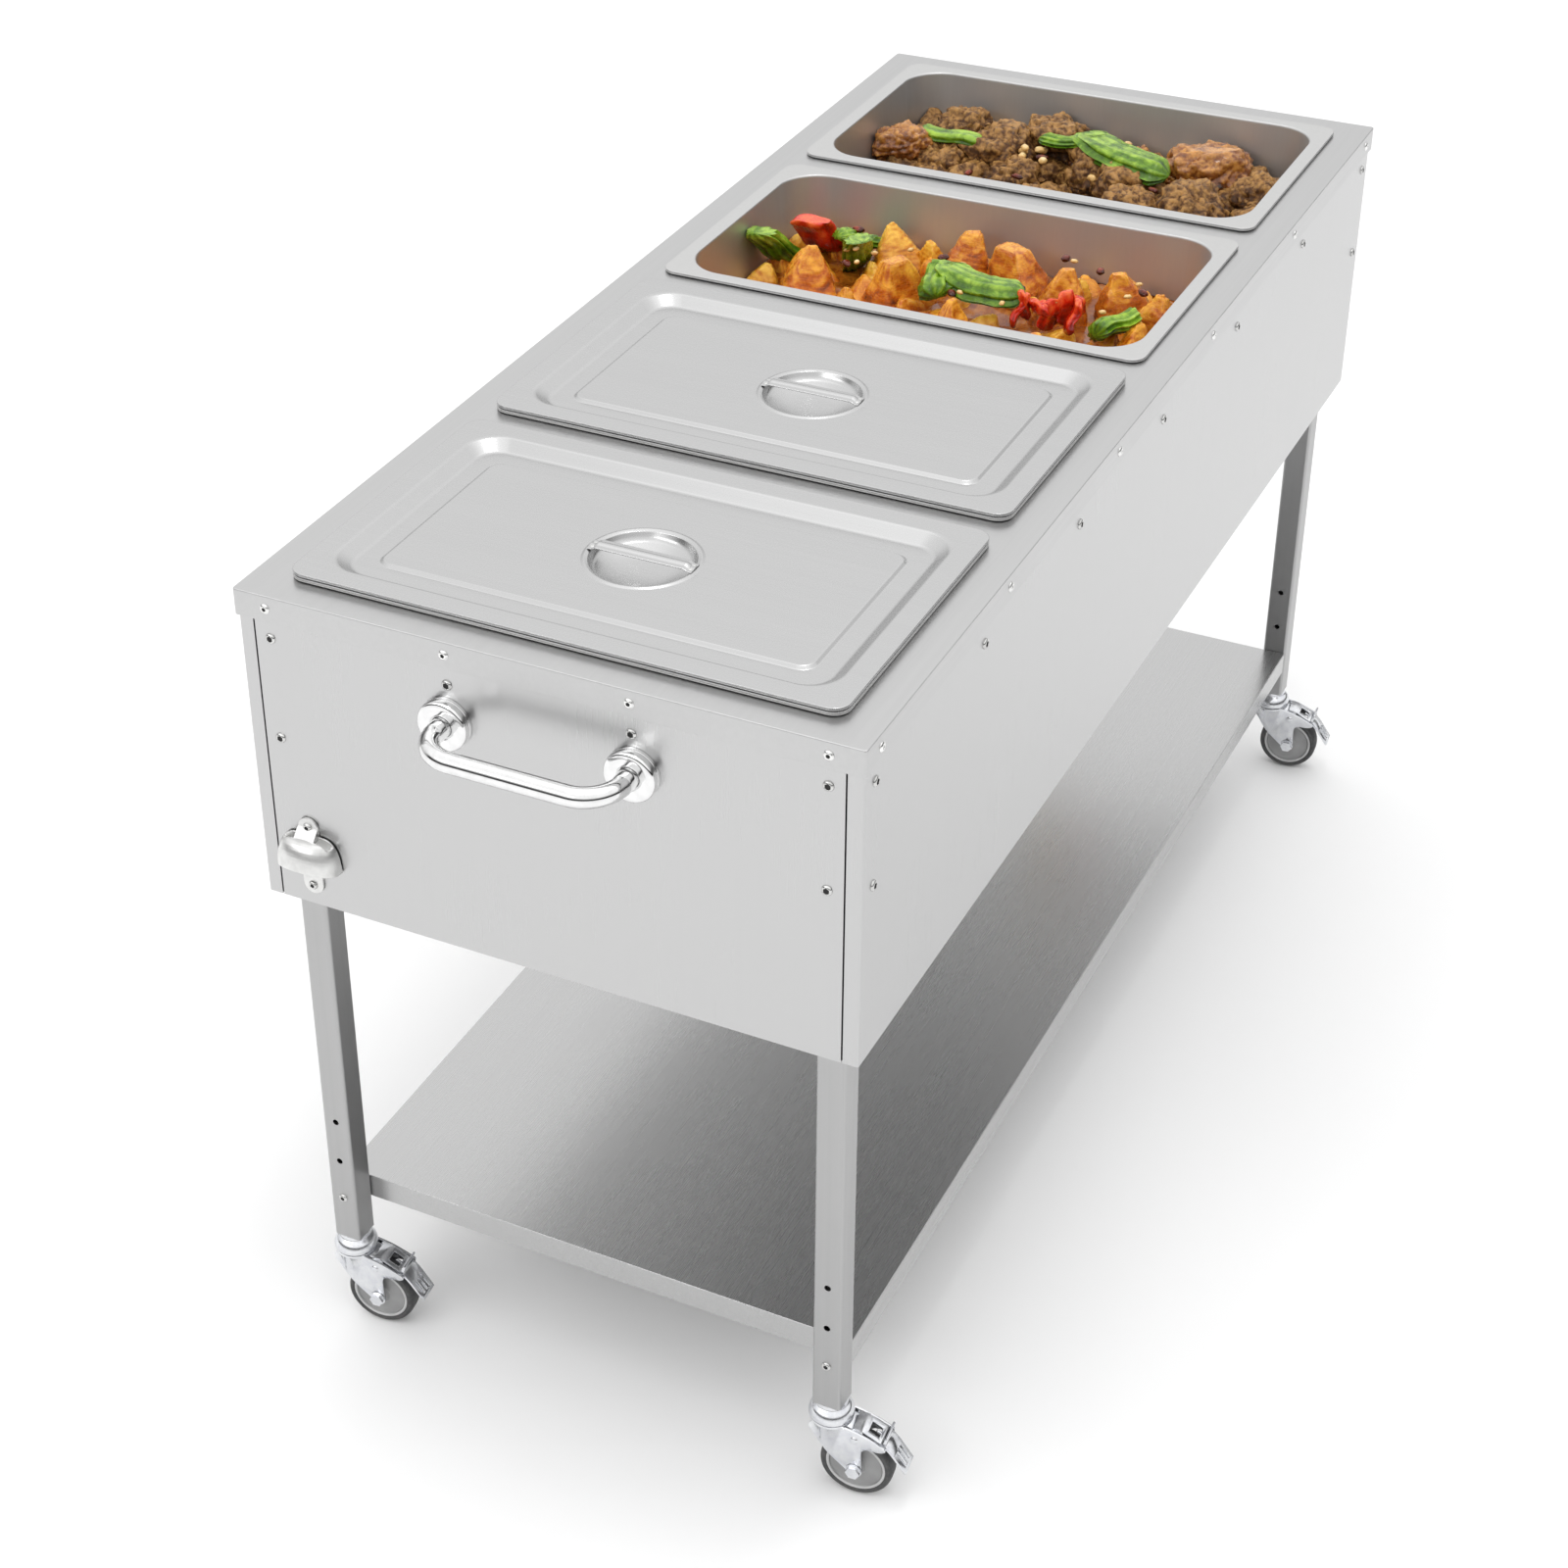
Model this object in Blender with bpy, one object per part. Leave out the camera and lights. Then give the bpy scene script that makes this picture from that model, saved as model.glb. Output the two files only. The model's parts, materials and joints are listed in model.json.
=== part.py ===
"""Mobile four-pan steam table: an electric water bath in a sheet-metal casing on four legs.

Frame: +Z up, the floor at z = 0, +X along the long side away from the grab handle, -Y to the
serving side. The pieces are laid out round the middle of the deck, and one parent empty moves the
whole assembly so that the origin is at the bottom centre of its bounding box. Metres throughout.
"""
import math

import bmesh
import bpy
from mathutils import Matrix, Vector

# ---- driving dimensions ------------------------------------------------------------------------
GAP = 0.0003                      # air between pieces that touch
DECK_TOP = 0.866                  # working height
DECK_HALF = (0.730, 0.300)        # half length and half width of the deck
DECK_SHEET = 0.0015
DECK_SKIRT = 0.026
CASING_HALF = (0.7272, 0.2972)    # outer faces of the casing panels
CASING_SHEET = 0.0012
CASING_DEPTH = 0.323              # deck top to the casing's lower edge
CORNER_RETURN = 0.015             # side panel wrapped round each corner
SEAM = 0.0012                     # gap between an end panel and those returns

PAN_PITCH = 0.3564
PAN_COUNT = 4
PAN_RIM_HALF = (0.1625, 0.265)    # rim, half of 325 x 530
PAN_RIM_RADIUS = 0.016
PAN_MOUTH_HALF = (0.146, 0.2485)  # inner wall at the rim
PAN_MOUTH_RADIUS = 0.045
PAN_FLOOR_HALF = (0.133, 0.2355)
PAN_FLOOR_RADIUS = 0.040
PAN_DEPTH = 0.150
PAN_SHEET = 0.001
RIM_HEIGHT = 0.004                # depth of the turned-down rim of a pan or a lid
CUTOUT_HALF = (0.152, 0.2545)
CUTOUT_RADIUS = 0.047

TANK_HALF = (0.692, 0.262)
TANK_RADIUS = 0.055
TANK_DEPTH = 0.189
TANK_SHEET = 0.0012
TANK_FLANGE = 0.011

LEG_SIZE = 0.029
LEG_WALL = 0.0015
LEG_OUTER = (0.708, 0.2784)       # outer faces of the legs
LEG_BOTTOM = 0.1086
LEG_HOLE_DROPS = (0.607, 0.657, 0.705)   # cross holes, below the deck top
LEG_HOLE_RADIUS = 0.0033

SHELF_TOP = 0.1724
SHELF_HALF = (0.6786, 0.2776)
SHELF_SHEET = 0.0012
SHELF_SKIRT = 0.0264

CASTER_YAW = math.radians(6)      # how far the parked casters are turned
CASTER_TRAIL = 0.0275
WHEEL_RADIUS = 0.036
TYRE_HALF_WIDTH = 0.011
FORK_OUTER = 0.016                # outer face of a fork plate from the middle
FORK_PLATE = 0.0022
CROWN_BOTTOM = 0.0863
CROWN_TOP = 0.0890
PEDAL_HALF_WIDTH = 0.0120
PEDAL_PIVOT = (-0.027, 0.0755)    # y and z of the brake pedal's pin

HANDLE_HALF_SPAN = 0.090
HANDLE_DROP = 0.081               # tube axis below the deck top
HANDLE_REACH = 0.055              # tube axis out from the end panel
HANDLE_BEND = 0.034
HANDLE_TUBE = 0.0095
ROSETTE_RADIUS = 0.0245
ROSETTE_DEPTH = 0.0127

CONTROL_DROP = 0.255              # control row below the deck top
KNOB_REACH = 0.024
KNOB_Y = -0.090
SWITCH_Y = 0.000
LAMP_Y = 0.060
INLET_Y = 0.140
DRAIN_X = 0.600
DRAIN_VALVE_DROP = 0.352          # ball centre below the deck top
DRAIN_PIPE = 0.0095               # outer radius of the outlet pipe
DRAIN_BORE = 0.0060
LAMP_RADIUS = 0.0050
SWITCH_HALF = (0.0135, 0.0095)
INLET_HALF = (0.0165, 0.0130)
SOCKET_WALL = 0.0025
KNOB_RADIUS = 0.021
GRIP_RISE = 0.0035                # knob's grip bar above its face
SHAFT_RADIUS = 0.0030
ROCKER_PIVOT = 0.0005             # rocker axis out from the end panel's face
ROCKER_TILT = math.radians(9)

ELEMENT_RADIUS = 0.0042
ELEMENT_HALF_SPAN = 0.110
ELEMENT_DROP = 0.172
ELEMENT_FAR_END = -0.540
ELEMENT_OUTLET = 0.712
BLANKET = 0.025                   # thickness of the insulation
BLANKET_HALF_LENGTH = 0.676

RIM_TOP = DECK_TOP + GAP + RIM_HEIGHT         # top of a pan's rim
LID_TOP = RIM_TOP + GAP + RIM_HEIGHT          # top of a lid's flange
PAN_LIP = 0.0025                  # rounding where a pan's wall meets its rim
PAN_FILLET = 0.010
PAN_STEPS = 4                     # facets in a pan's corner
DISH_RADIUS = 0.048
DISH_FLOOR_RADIUS = 0.030
DISH_DEPTH = 0.015
DISH_BEAD_RADIUS = 0.053
LID_FLOOR_DROP = 0.0100           # recess floor below the lid's flange
LID_PANEL_RISE = 0.0030
STRAP_HALF_WIDTH = 0.0065
FOOD_DROP = 0.050                 # edge of the heaped food below the deck top
FOOD_CROWN = 0.014

OPENER_Y = 0.245
OPENER_DROP = 0.2676              # middle of the opener's plate below the deck top
OPENER_PLATE = 0.0030
OPENER_LUG = (0.0105, 0.0415)     # half width and half height of the plate
OPENER_HOOD = (0.026, 0.0312, 0.033)   # reach, half width and height of the hood
OPENER_WALL = 0.0026
OPENER_MOUTH = -0.013             # lower edge of the hood from the plate's middle

# ---- scene and materials -----------------------------------------------------------------------
for old in list(bpy.data.objects):
    bpy.data.objects.remove(old, do_unlink=True)

ROOT = bpy.data.objects.new("steam_table_frame", None)
bpy.context.scene.collection.objects.link(ROOT)


def material(name, colour, roughness, metallic):
    made = bpy.data.materials.new(name)
    made.use_nodes = True
    shader = made.node_tree.nodes["Principled BSDF"]
    shader.inputs["Base Color"].default_value = (*colour, 1.0)
    shader.inputs["Roughness"].default_value = roughness
    shader.inputs["Metallic"].default_value = metallic
    return made


BRUSHED = material("brushed_stainless", (0.66, 0.66, 0.65), 0.34, 1.0)
SATIN = material("satin_stainless", (0.70, 0.70, 0.69), 0.30, 1.0)
LEG_STEEL = material("leg_steel", (0.52, 0.52, 0.51), 0.40, 1.0)
POLISHED = material("polished_steel", (0.78, 0.78, 0.78), 0.12, 1.0)
ZINC = material("bright_zinc", (0.74, 0.75, 0.76), 0.22, 1.0)
CAST = material("plated_cast_iron", (0.72, 0.72, 0.71), 0.28, 1.0)
HUB_PLASTIC = material("hub_plastic", (0.46, 0.46, 0.46), 0.50, 0.0)
TYRE_RUBBER = material("tyre_rubber", (0.10, 0.10, 0.10), 0.65, 0.0)
BLACK_PLASTIC = material("black_plastic", (0.03, 0.03, 0.03), 0.40, 0.0)
RED_LENS = material("red_lens", (0.75, 0.05, 0.03), 0.15, 0.0)
GLASS_WOOL = material("glass_wool", (0.85, 0.76, 0.42), 0.90, 0.0)
ELEMENT_STEEL = material("element_sheath", (0.25, 0.24, 0.23), 0.45, 1.0)
BRASS = material("brass", (0.80, 0.62, 0.30), 0.30, 1.0)
LEVER_RED = material("lever_vinyl", (0.60, 0.04, 0.03), 0.45, 0.0)
ORANGE_FOOD = material("glazed_wedges", (0.80, 0.33, 0.04), 0.35, 0.0)
BEEF_FOOD = material("braised_meat", (0.16, 0.07, 0.03), 0.40, 0.0)


# ---- modelling helpers ---------------------------------------------------------------------------
def drop(depth):
    """Height above the floor of a level given as a depth below the deck top."""
    return DECK_TOP - depth


def place(name, mesh, look, at=(0.0, 0.0, 0.0), parent=None, smooth=None):
    """Links a mesh as a named object; smooth is the edge angle in degrees that stays sharp."""
    made = bpy.data.objects.new(name, mesh)
    bpy.context.scene.collection.objects.link(made)
    made.parent = parent or ROOT
    made.location = at
    if look is not None:
        mesh.materials.append(look)
    if smooth is not None:
        mesh.shade_smooth()
        mesh.set_sharp_from_angle(angle=math.radians(smooth))
    return made


def finish_mesh(name, bm):
    bmesh.ops.recalc_face_normals(bm, faces=bm.faces)
    mesh = bpy.data.meshes.new(name)
    bm.to_mesh(mesh)
    bm.free()
    return mesh


def rounded_rect(half_x, half_y, radius, corner_steps, z):
    """Corner-rounded rectangle as a ring of points, anticlockwise seen from above."""
    points = []
    for corner, (sx, sy) in enumerate(((1, 1), (-1, 1), (-1, -1), (1, -1))):
        for step in range(corner_steps + 1):
            angle = math.radians(90 * (corner + step / corner_steps))
            points.append(Vector((sx * (half_x - radius) + radius * math.cos(angle),
                                  sy * (half_y - radius) + radius * math.sin(angle), z)))
    return points


def circle_ring(radius, corner_steps, z):
    """Circle with as many points as rounded_rect's ring, in the same order."""
    count = 4 * (corner_steps + 1)
    turn = [2 * math.pi * (k + 0.5) / count for k in range(count)]
    return [Vector((radius * math.cos(a), radius * math.sin(a), z)) for a in turn]


def loft_mesh(name, rings, wrap=False):
    """Closed skin through equal-sized rings: flat caps at both ends, or, with wrap, the last
    ring joined to the first, as on a tube."""
    bm = bmesh.new()
    rows = [[bm.verts.new(point) for point in ring] for ring in rings]
    count = len(rows[0])
    for lower, upper in zip(rows, rows[1:] + (rows[:1] if wrap else [])):
        for i in range(count):
            j = (i + 1) % count
            bm.faces.new((lower[i], lower[j], upper[j], upper[i]))
    if not wrap:
        bm.faces.new(rows[0][::-1])
        bm.faces.new(rows[-1])
    return finish_mesh(name, bm)


AXES = {"x": Matrix(((0, 0, 1, 0), (1, 0, 0, 0), (0, 1, 0, 0), (0, 0, 0, 1))),
        "y": Matrix(((0, 1, 0, 0), (0, 0, 1, 0), (1, 0, 0, 0), (0, 0, 0, 1))),
        "z": Matrix.Identity(4)}


def prism_mesh(name, outline, low, high, axis="z"):
    """Flat outline extruded along an axis. The outline's pair is (y, z) for x, (z, x) for y."""
    bm = bmesh.new()
    base = [bm.verts.new((a, b, low)) for a, b in outline]
    top = [bm.verts.new((a, b, high)) for a, b in outline]
    count = len(base)
    for i in range(count):
        j = (i + 1) % count
        bm.faces.new((base[i], base[j], top[j], top[i]))
    bm.faces.new(base[::-1])
    bm.faces.new(top)
    bmesh.ops.transform(bm, matrix=AXES[axis], verts=bm.verts)
    return finish_mesh(name, bm)


def box_mesh(name, low, high):
    outline = ((low[0], low[1]), (high[0], low[1]), (high[0], high[1]), (low[0], high[1]))
    return prism_mesh(name, outline, low[2], high[2])


def lathe_mesh(name, profile, segments=24, axis="z"):
    """Profile of (radius, height) turned about an axis. Radius 0 closes an end on the axis;
    otherwise the profile's last point joins its first, as on a ring."""
    bm = bmesh.new()
    rows = []
    for radius, height in profile:
        if radius == 0.0:
            rows.append([bm.verts.new((0.0, 0.0, height))])
            continue
        turn = [2 * math.pi * i / segments for i in range(segments)]
        rows.append([bm.verts.new((radius * math.cos(a), radius * math.sin(a), height))
                     for a in turn])
    pairs = list(zip(rows, rows[1:]))
    if profile[0][0] != 0.0:
        pairs.append((rows[-1], rows[0]))
    for lower, upper in pairs:
        for i in range(segments):
            j = (i + 1) % segments
            corners = (lower[i % len(lower)], lower[j % len(lower)],
                       upper[j % len(upper)], upper[i % len(upper)])
            bm.faces.new(list(dict.fromkeys(corners)))
    bmesh.ops.transform(bm, matrix=AXES[axis], verts=bm.verts)
    return finish_mesh(name, bm)


def rod_mesh(name, radius, low, high, segments=16, axis="z"):
    """Plain round bar along an axis, used for bores, pins and necks."""
    profile = [(0.0, low), (radius, low), (radius, high), (0.0, high)]
    return lathe_mesh(name, profile, segments, axis)


def sweep_mesh(name, path, radius, sides=12):
    """Round tube along a path that lies in one plane, with flat ends."""
    path = [Vector(point) for point in path]
    flat = (path[1] - path[0]).cross(path[-1] - path[1])
    if flat.length < 1e-9:
        flat = (path[1] - path[0]).cross(path[len(path) // 2] - path[0])
    flat.normalize()
    rings = []
    for i, point in enumerate(path):
        before = path[max(i - 1, 0)]
        after = path[min(i + 1, len(path) - 1)]
        along = (after - before).normalized()
        across = along.cross(flat)
        rings.append([point + radius * (math.cos(a) * across + math.sin(a) * flat)
                      for a in (2 * math.pi * k / sides for k in range(sides))])
    return loft_mesh(name, rings)


def arc(centre, radius, start, end, steps):
    """Points on a circular arc in a plane, angles in degrees."""
    turn = [math.radians(start + (end - start) * k / steps) for k in range(steps + 1)]
    return [(centre[0] + radius * math.cos(a), centre[1] + radius * math.sin(a)) for a in turn]


def boolean(target, tool_mesh, operation, at=(0.0, 0.0, 0.0), parent=None):
    """Cuts or joins a hidden tool shape into target."""
    tool = place(f"{target.name}_{operation.lower()}_{len(target.modifiers)}", tool_mesh, None,
                 at, parent or target.parent)
    tool.hide_render = True
    tool.display_type = "WIRE"
    step = target.modifiers.new(operation.title(), "BOOLEAN")
    step.operation = operation
    step.solver = "EXACT"
    step.object = tool
    return target


def cut(target, tool_mesh, **where):
    return boolean(target, tool_mesh, "DIFFERENCE", **where)


def join(target, tool_mesh, **where):
    return boolean(target, tool_mesh, "UNION", **where)


def pan_centres():
    first = -PAN_PITCH * (PAN_COUNT - 1) / 2
    return [first + PAN_PITCH * i for i in range(PAN_COUNT)]


# ---- casing ----------------------------------------------------------------------------------
def make_deck():
    hx, hy = DECK_HALF
    sheet = DECK_SHEET
    inner = (hx - sheet, hy - sheet)
    low = drop(DECK_SKIRT)
    rings = [rounded_rect(*inner, 0.0015, 2, drop(sheet)),
             rounded_rect(*inner, 0.0015, 2, low),
             rounded_rect(hx, hy, 0.003, 2, low),
             rounded_rect(hx, hy, 0.003, 2, drop(0.0012)),
             rounded_rect(hx - 0.0004, hy - 0.0004, 0.0026, 2, drop(0.0004)),
             rounded_rect(hx - 0.0012, hy - 0.0012, 0.0018, 2, DECK_TOP)]
    deck = place("top_deck", loft_mesh("top_deck", rings), BRUSHED)
    for centre in pan_centres():
        hole = loft_mesh("cutout", [rounded_rect(*CUTOUT_HALF, CUTOUT_RADIUS, 6, drop(0.010)),
                                    rounded_rect(*CUTOUT_HALF, CUTOUT_RADIUS, 6, drop(-0.010))])
        cut(deck, hole, at=(centre, 0.0, 0.0))


def make_tank():
    hx, hy = TANK_HALF
    taper = 0.004
    sheet = TANK_SHEET
    top = drop(DECK_SHEET + GAP)
    floor = drop(TANK_DEPTH)
    radius = TANK_RADIUS
    rings = [rounded_rect(hx - taper, hy - taper, radius - taper, 6, floor),
             rounded_rect(hx, hy, radius, 6, top),
             rounded_rect(hx + TANK_FLANGE, hy + TANK_FLANGE, radius + TANK_FLANGE, 6, top),
             rounded_rect(hx + TANK_FLANGE, hy + TANK_FLANGE, radius + TANK_FLANGE, 6, top - sheet),
             rounded_rect(hx + sheet, hy + sheet, radius + sheet, 6, top - sheet),
             rounded_rect(hx - taper + sheet, hy - taper + sheet, radius - taper + sheet, 6,
                          floor - sheet)]
    tank = place("water_tank", loft_mesh("water_tank", rings), SATIN, smooth=40)
    cut(tank, rod_mesh("drain_hole", DRAIN_PIPE + 2 * GAP, -0.01, 0.01, 20),
        at=(DRAIN_X, 0.0, floor))
    for side in (-1, 1):
        cut(tank, rod_mesh("element_hole", ELEMENT_RADIUS + 2 * GAP, -0.03, 0.03, axis="x"),
            at=(hx, side * ELEMENT_HALF_SPAN, drop(ELEMENT_DROP)))


def make_heating_element():
    """One long hairpin that leaves the tank through its right-hand end wall."""
    bend = arc((ELEMENT_FAR_END, 0.0), ELEMENT_HALF_SPAN, 90, 270, 10)
    flat = [(ELEMENT_OUTLET, ELEMENT_HALF_SPAN), *bend, (ELEMENT_OUTLET, -ELEMENT_HALF_SPAN)]
    path = [(x, y, drop(ELEMENT_DROP)) for x, y in flat]
    place("heating_element", sweep_mesh("heating_element", path, ELEMENT_RADIUS, 8),
          ELEMENT_STEEL, smooth=40)


def make_insulation():
    """Blanket folded up both long sides of the tank and under it."""
    near = TANK_HALF[1] + TANK_SHEET + 0.0014
    far = near + BLANKET
    top = drop(0.006)
    under = drop(TANK_DEPTH + TANK_SHEET + 0.0008)
    outline = ((-far, under - BLANKET), (far, under - BLANKET), (far, top), (near, top),
               (near, under), (-near, under), (-near, top), (-far, top))
    mesh = prism_mesh("tank_insulation", outline, -BLANKET_HALF_LENGTH, BLANKET_HALF_LENGTH, "x")
    blanket = place("tank_insulation", mesh, GLASS_WOOL)
    cut(blanket, rod_mesh("drain_hole", DRAIN_PIPE + 0.003, -0.04, 0.01), at=(DRAIN_X, 0.0, under))


def make_side_panels():
    hx, hy = CASING_HALF
    sheet = CASING_SHEET
    bend = 0.002
    back = hy - CORNER_RETURN
    outer = [(-hx, -back), *arc((-hx + bend, -hy + bend), bend, 180, 270, 3),
             *arc((hx - bend, -hy + bend), bend, 270, 360, 3), (hx, -back)]
    inner = [(hx - sheet, -back), (hx - sheet, -hy + sheet), (-hx + sheet, -hy + sheet),
             (-hx + sheet, -back)]
    for name, flip in (("side_panel_front", 1), ("side_panel_rear", -1)):
        outline = [(x * flip, y * flip) for x, y in outer + inner]
        mesh = prism_mesh(name, outline, drop(CASING_DEPTH), drop(DECK_SHEET + 0.0005))
        place(name, mesh, SATIN)


def end_panel(name, side):
    hx = CASING_HALF[0]
    half = CASING_HALF[1] - CORNER_RETURN - SEAM
    faces = sorted((side * hx, side * (hx - CASING_SHEET)))
    mesh = box_mesh(name, (faces[0], -half, drop(CASING_DEPTH)),
                    (faces[1], half, drop(DECK_SHEET + 0.0005)))
    return place(name, mesh, SATIN)


def make_end_panels():
    end_panel("end_panel_left", -1)
    right = end_panel("end_panel_right", 1)
    at = (CASING_HALF[0], 0.0, drop(CONTROL_DROP))
    for y, radius in ((KNOB_Y, 0.0050), (LAMP_Y, LAMP_RADIUS + 0.0005)):
        cut(right, rod_mesh("control_hole", radius, -0.01, 0.01, axis="x"), at=(at[0], y, at[2]))
    for y, half_y, half_z in ((SWITCH_Y, SWITCH_HALF[0], SWITCH_HALF[1]),
                              (INLET_Y, INLET_HALF[0], INLET_HALF[1])):
        hole = box_mesh("control_slot", (-0.01, -half_y - 0.0004, -half_z - 0.0004),
                        (0.01, half_y + 0.0004, half_z + 0.0004))
        cut(right, hole, at=(at[0], y, at[2]))


def make_bottom_panel():
    hx = CASING_HALF[0] - CASING_SHEET - 0.0004
    hy = CASING_HALF[1] - CASING_SHEET - 0.0004
    low = drop(CASING_DEPTH - 0.0005)
    panel = place("bottom_panel", box_mesh("bottom_panel", (-hx, -hy, low),
                                           (hx, hy, low + CASING_SHEET)), SATIN)
    half = LEG_SIZE / 2 + 0.0004
    for _, x, y in leg_places():
        hole = box_mesh("leg_hole", (-half, -half, -0.01), (half, half, 0.01))
        cut(panel, hole, at=(x, y, low))
    cut(panel, rod_mesh("drain_hole", DRAIN_PIPE + 0.0015, -0.01, 0.01), at=(DRAIN_X, 0.0, low))


# ---- legs and shelf ---------------------------------------------------------------------------
def leg_places():
    x = LEG_OUTER[0] - LEG_SIZE / 2
    y = LEG_OUTER[1] - LEG_SIZE / 2
    return (("front_left", -x, -y), ("front_right", x, -y),
            ("rear_left", -x, y), ("rear_right", x, y))


def make_leg(corner, x, y):
    half = LEG_SIZE / 2
    inner = half - LEG_WALL
    top = drop(0.006)
    rings = [rounded_rect(inner, inner, 0.0015, 1, LEG_BOTTOM),
             rounded_rect(half, half, 0.003, 1, LEG_BOTTOM),
             rounded_rect(half, half, 0.003, 1, top),
             rounded_rect(inner, inner, 0.0015, 1, top)]
    leg = place(f"{corner}_leg", loft_mesh("leg", rings, wrap=True), LEG_STEEL, at=(x, y, 0.0))
    for depth in LEG_HOLE_DROPS:
        cut(leg, rod_mesh("leg_bore", LEG_HOLE_RADIUS, -LEG_SIZE, LEG_SIZE, 8, "x"),
            at=(x, y, drop(depth)))


def make_shelf():
    hx, hy = SHELF_HALF
    sheet = SHELF_SHEET
    low = SHELF_TOP - SHELF_SKIRT
    rings = [rounded_rect(hx - sheet, hy - sheet, 0.001, 2, SHELF_TOP - sheet),
             rounded_rect(hx - sheet, hy - sheet, 0.001, 2, low),
             rounded_rect(hx, hy, 0.002, 2, low),
             rounded_rect(hx, hy, 0.002, 2, SHELF_TOP - 0.0015),
             rounded_rect(hx - 0.0005, hy - 0.0005, 0.0015, 2, SHELF_TOP - 0.0005),
             rounded_rect(hx - 0.0015, hy - 0.0015, 0.0005, 2, SHELF_TOP)]
    place("undershelf", loft_mesh("undershelf", rings), LEG_STEEL)


# ---- pans, lids and food ------------------------------------------------------------------------
def pan_rings(steps=PAN_STEPS):
    sheet = PAN_SHEET
    floor = RIM_TOP - PAN_DEPTH
    fillet = PAN_FILLET
    under = RIM_TOP - sheet
    rim, mouth, base = PAN_RIM_HALF, PAN_MOUTH_HALF, PAN_FLOOR_HALF
    low = RIM_TOP - RIM_HEIGHT

    def ring(half, grow, radius, z):
        return rounded_rect(half[0] + grow, half[1] + grow, radius + grow, steps, z)

    return [ring(base, -fillet, PAN_FLOOR_RADIUS, floor),
            ring(base, 0.0, PAN_FLOOR_RADIUS, floor + fillet),
            ring(mouth, 0.0, PAN_MOUTH_RADIUS, RIM_TOP - PAN_LIP),
            ring(mouth, 0.002, PAN_MOUTH_RADIUS, RIM_TOP),
            ring(rim, -0.0014, PAN_RIM_RADIUS, RIM_TOP),
            ring(rim, 0.0, PAN_RIM_RADIUS, RIM_TOP - 0.0014),
            ring(rim, 0.0, PAN_RIM_RADIUS, low),
            ring(rim, -sheet, PAN_RIM_RADIUS, low),
            ring(rim, -sheet, PAN_RIM_RADIUS, under - 0.0004),
            ring(mouth, 0.0025, PAN_MOUTH_RADIUS, under - 0.0004),
            ring(mouth, sheet, PAN_MOUTH_RADIUS, RIM_TOP - 0.004),
            ring(base, sheet, PAN_FLOOR_RADIUS, floor + fillet - 0.0004),
            ring(base, sheet - fillet, PAN_FLOOR_RADIUS, floor - sheet)]


def make_pan(number, centre):
    mesh = loft_mesh("pan", pan_rings())
    return place(f"pan_{number}", mesh, SATIN, at=(centre, 0.0, 0.0), smooth=35)


def lid_rings(steps=PAN_STEPS):
    """Skin of a lid from its rim's foot over the top to the dish, and back underneath."""
    top = LID_TOP
    floor = top - LID_FLOOR_DROP
    panel = floor + LID_PANEL_RISE
    sheet = PAN_SHEET
    edge = 0.0014
    bend = 0.0004

    def box(half_x, half_y, radius, z, grow=0.0):
        return rounded_rect(half_x + grow, half_y + grow, radius + grow, steps, z)

    def disc(radius, z):
        return circle_ring(radius, steps, z)

    rim = (*PAN_RIM_HALF, PAN_RIM_RADIUS)
    above = [box(*rim, top - RIM_HEIGHT),
             box(*rim, top - edge),
             box(*rim, top, -edge),
             box(0.1402, 0.2434, 0.0332, top),
             box(0.1392, 0.2424, 0.0322, top - bend),
             box(0.1270, 0.2302, 0.0240, floor),
             box(0.1055, 0.2100, 0.0140, floor),
             box(0.1030, 0.2075, 0.0120, panel),
             disc(DISH_BEAD_RADIUS + 0.002, panel),
             disc(DISH_BEAD_RADIUS, panel + bend),
             disc(DISH_RADIUS + 0.002, panel + sheet),
             disc(DISH_RADIUS, panel - bend),
             disc(DISH_FLOOR_RADIUS, panel - DISH_DEPTH)]
    below = [disc(DISH_FLOOR_RADIUS + sheet, panel - DISH_DEPTH - sheet),
             disc(DISH_RADIUS + sheet, panel - sheet),
             disc(DISH_BEAD_RADIUS + 0.002, panel - sheet),
             box(0.1037, 0.2082, 0.0127, panel - sheet),
             box(0.1062, 0.2107, 0.0147, floor - sheet),
             box(0.1280, 0.2312, 0.0250, floor - sheet),
             box(0.1400, 0.2432, 0.0330, top - sheet),
             box(*rim, top - edge, -sheet),
             box(*rim, top - RIM_HEIGHT, -sheet)]
    return above + below


def make_lid(number, centre):
    mesh = loft_mesh("lid", lid_rings(), wrap=True)
    place(f"lid_{number}", mesh, BRUSHED, at=(centre, 0.0, 0.0), smooth=30)
    level = LID_TOP - LID_FLOOR_DROP + LID_PANEL_RISE
    half = DISH_RADIUS + 0.0035
    low = level + 0.0010 + GAP
    outline = [(-half, low), (-half + 0.007, low), (-half + 0.010, low + 0.0016),
               (half - 0.010, low + 0.0016), (half - 0.007, low), (half, low),
               (half, low + 0.0020), (half - 0.009, low + 0.0038),
               (-half + 0.009, low + 0.0038), (-half, low + 0.0020)]
    strap = prism_mesh("lid_strap", outline, -STRAP_HALF_WIDTH, STRAP_HALF_WIDTH, "x")
    place(f"lid_strap_{number}", strap, BRUSHED, at=(centre, 0.0, 0.0))


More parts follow.
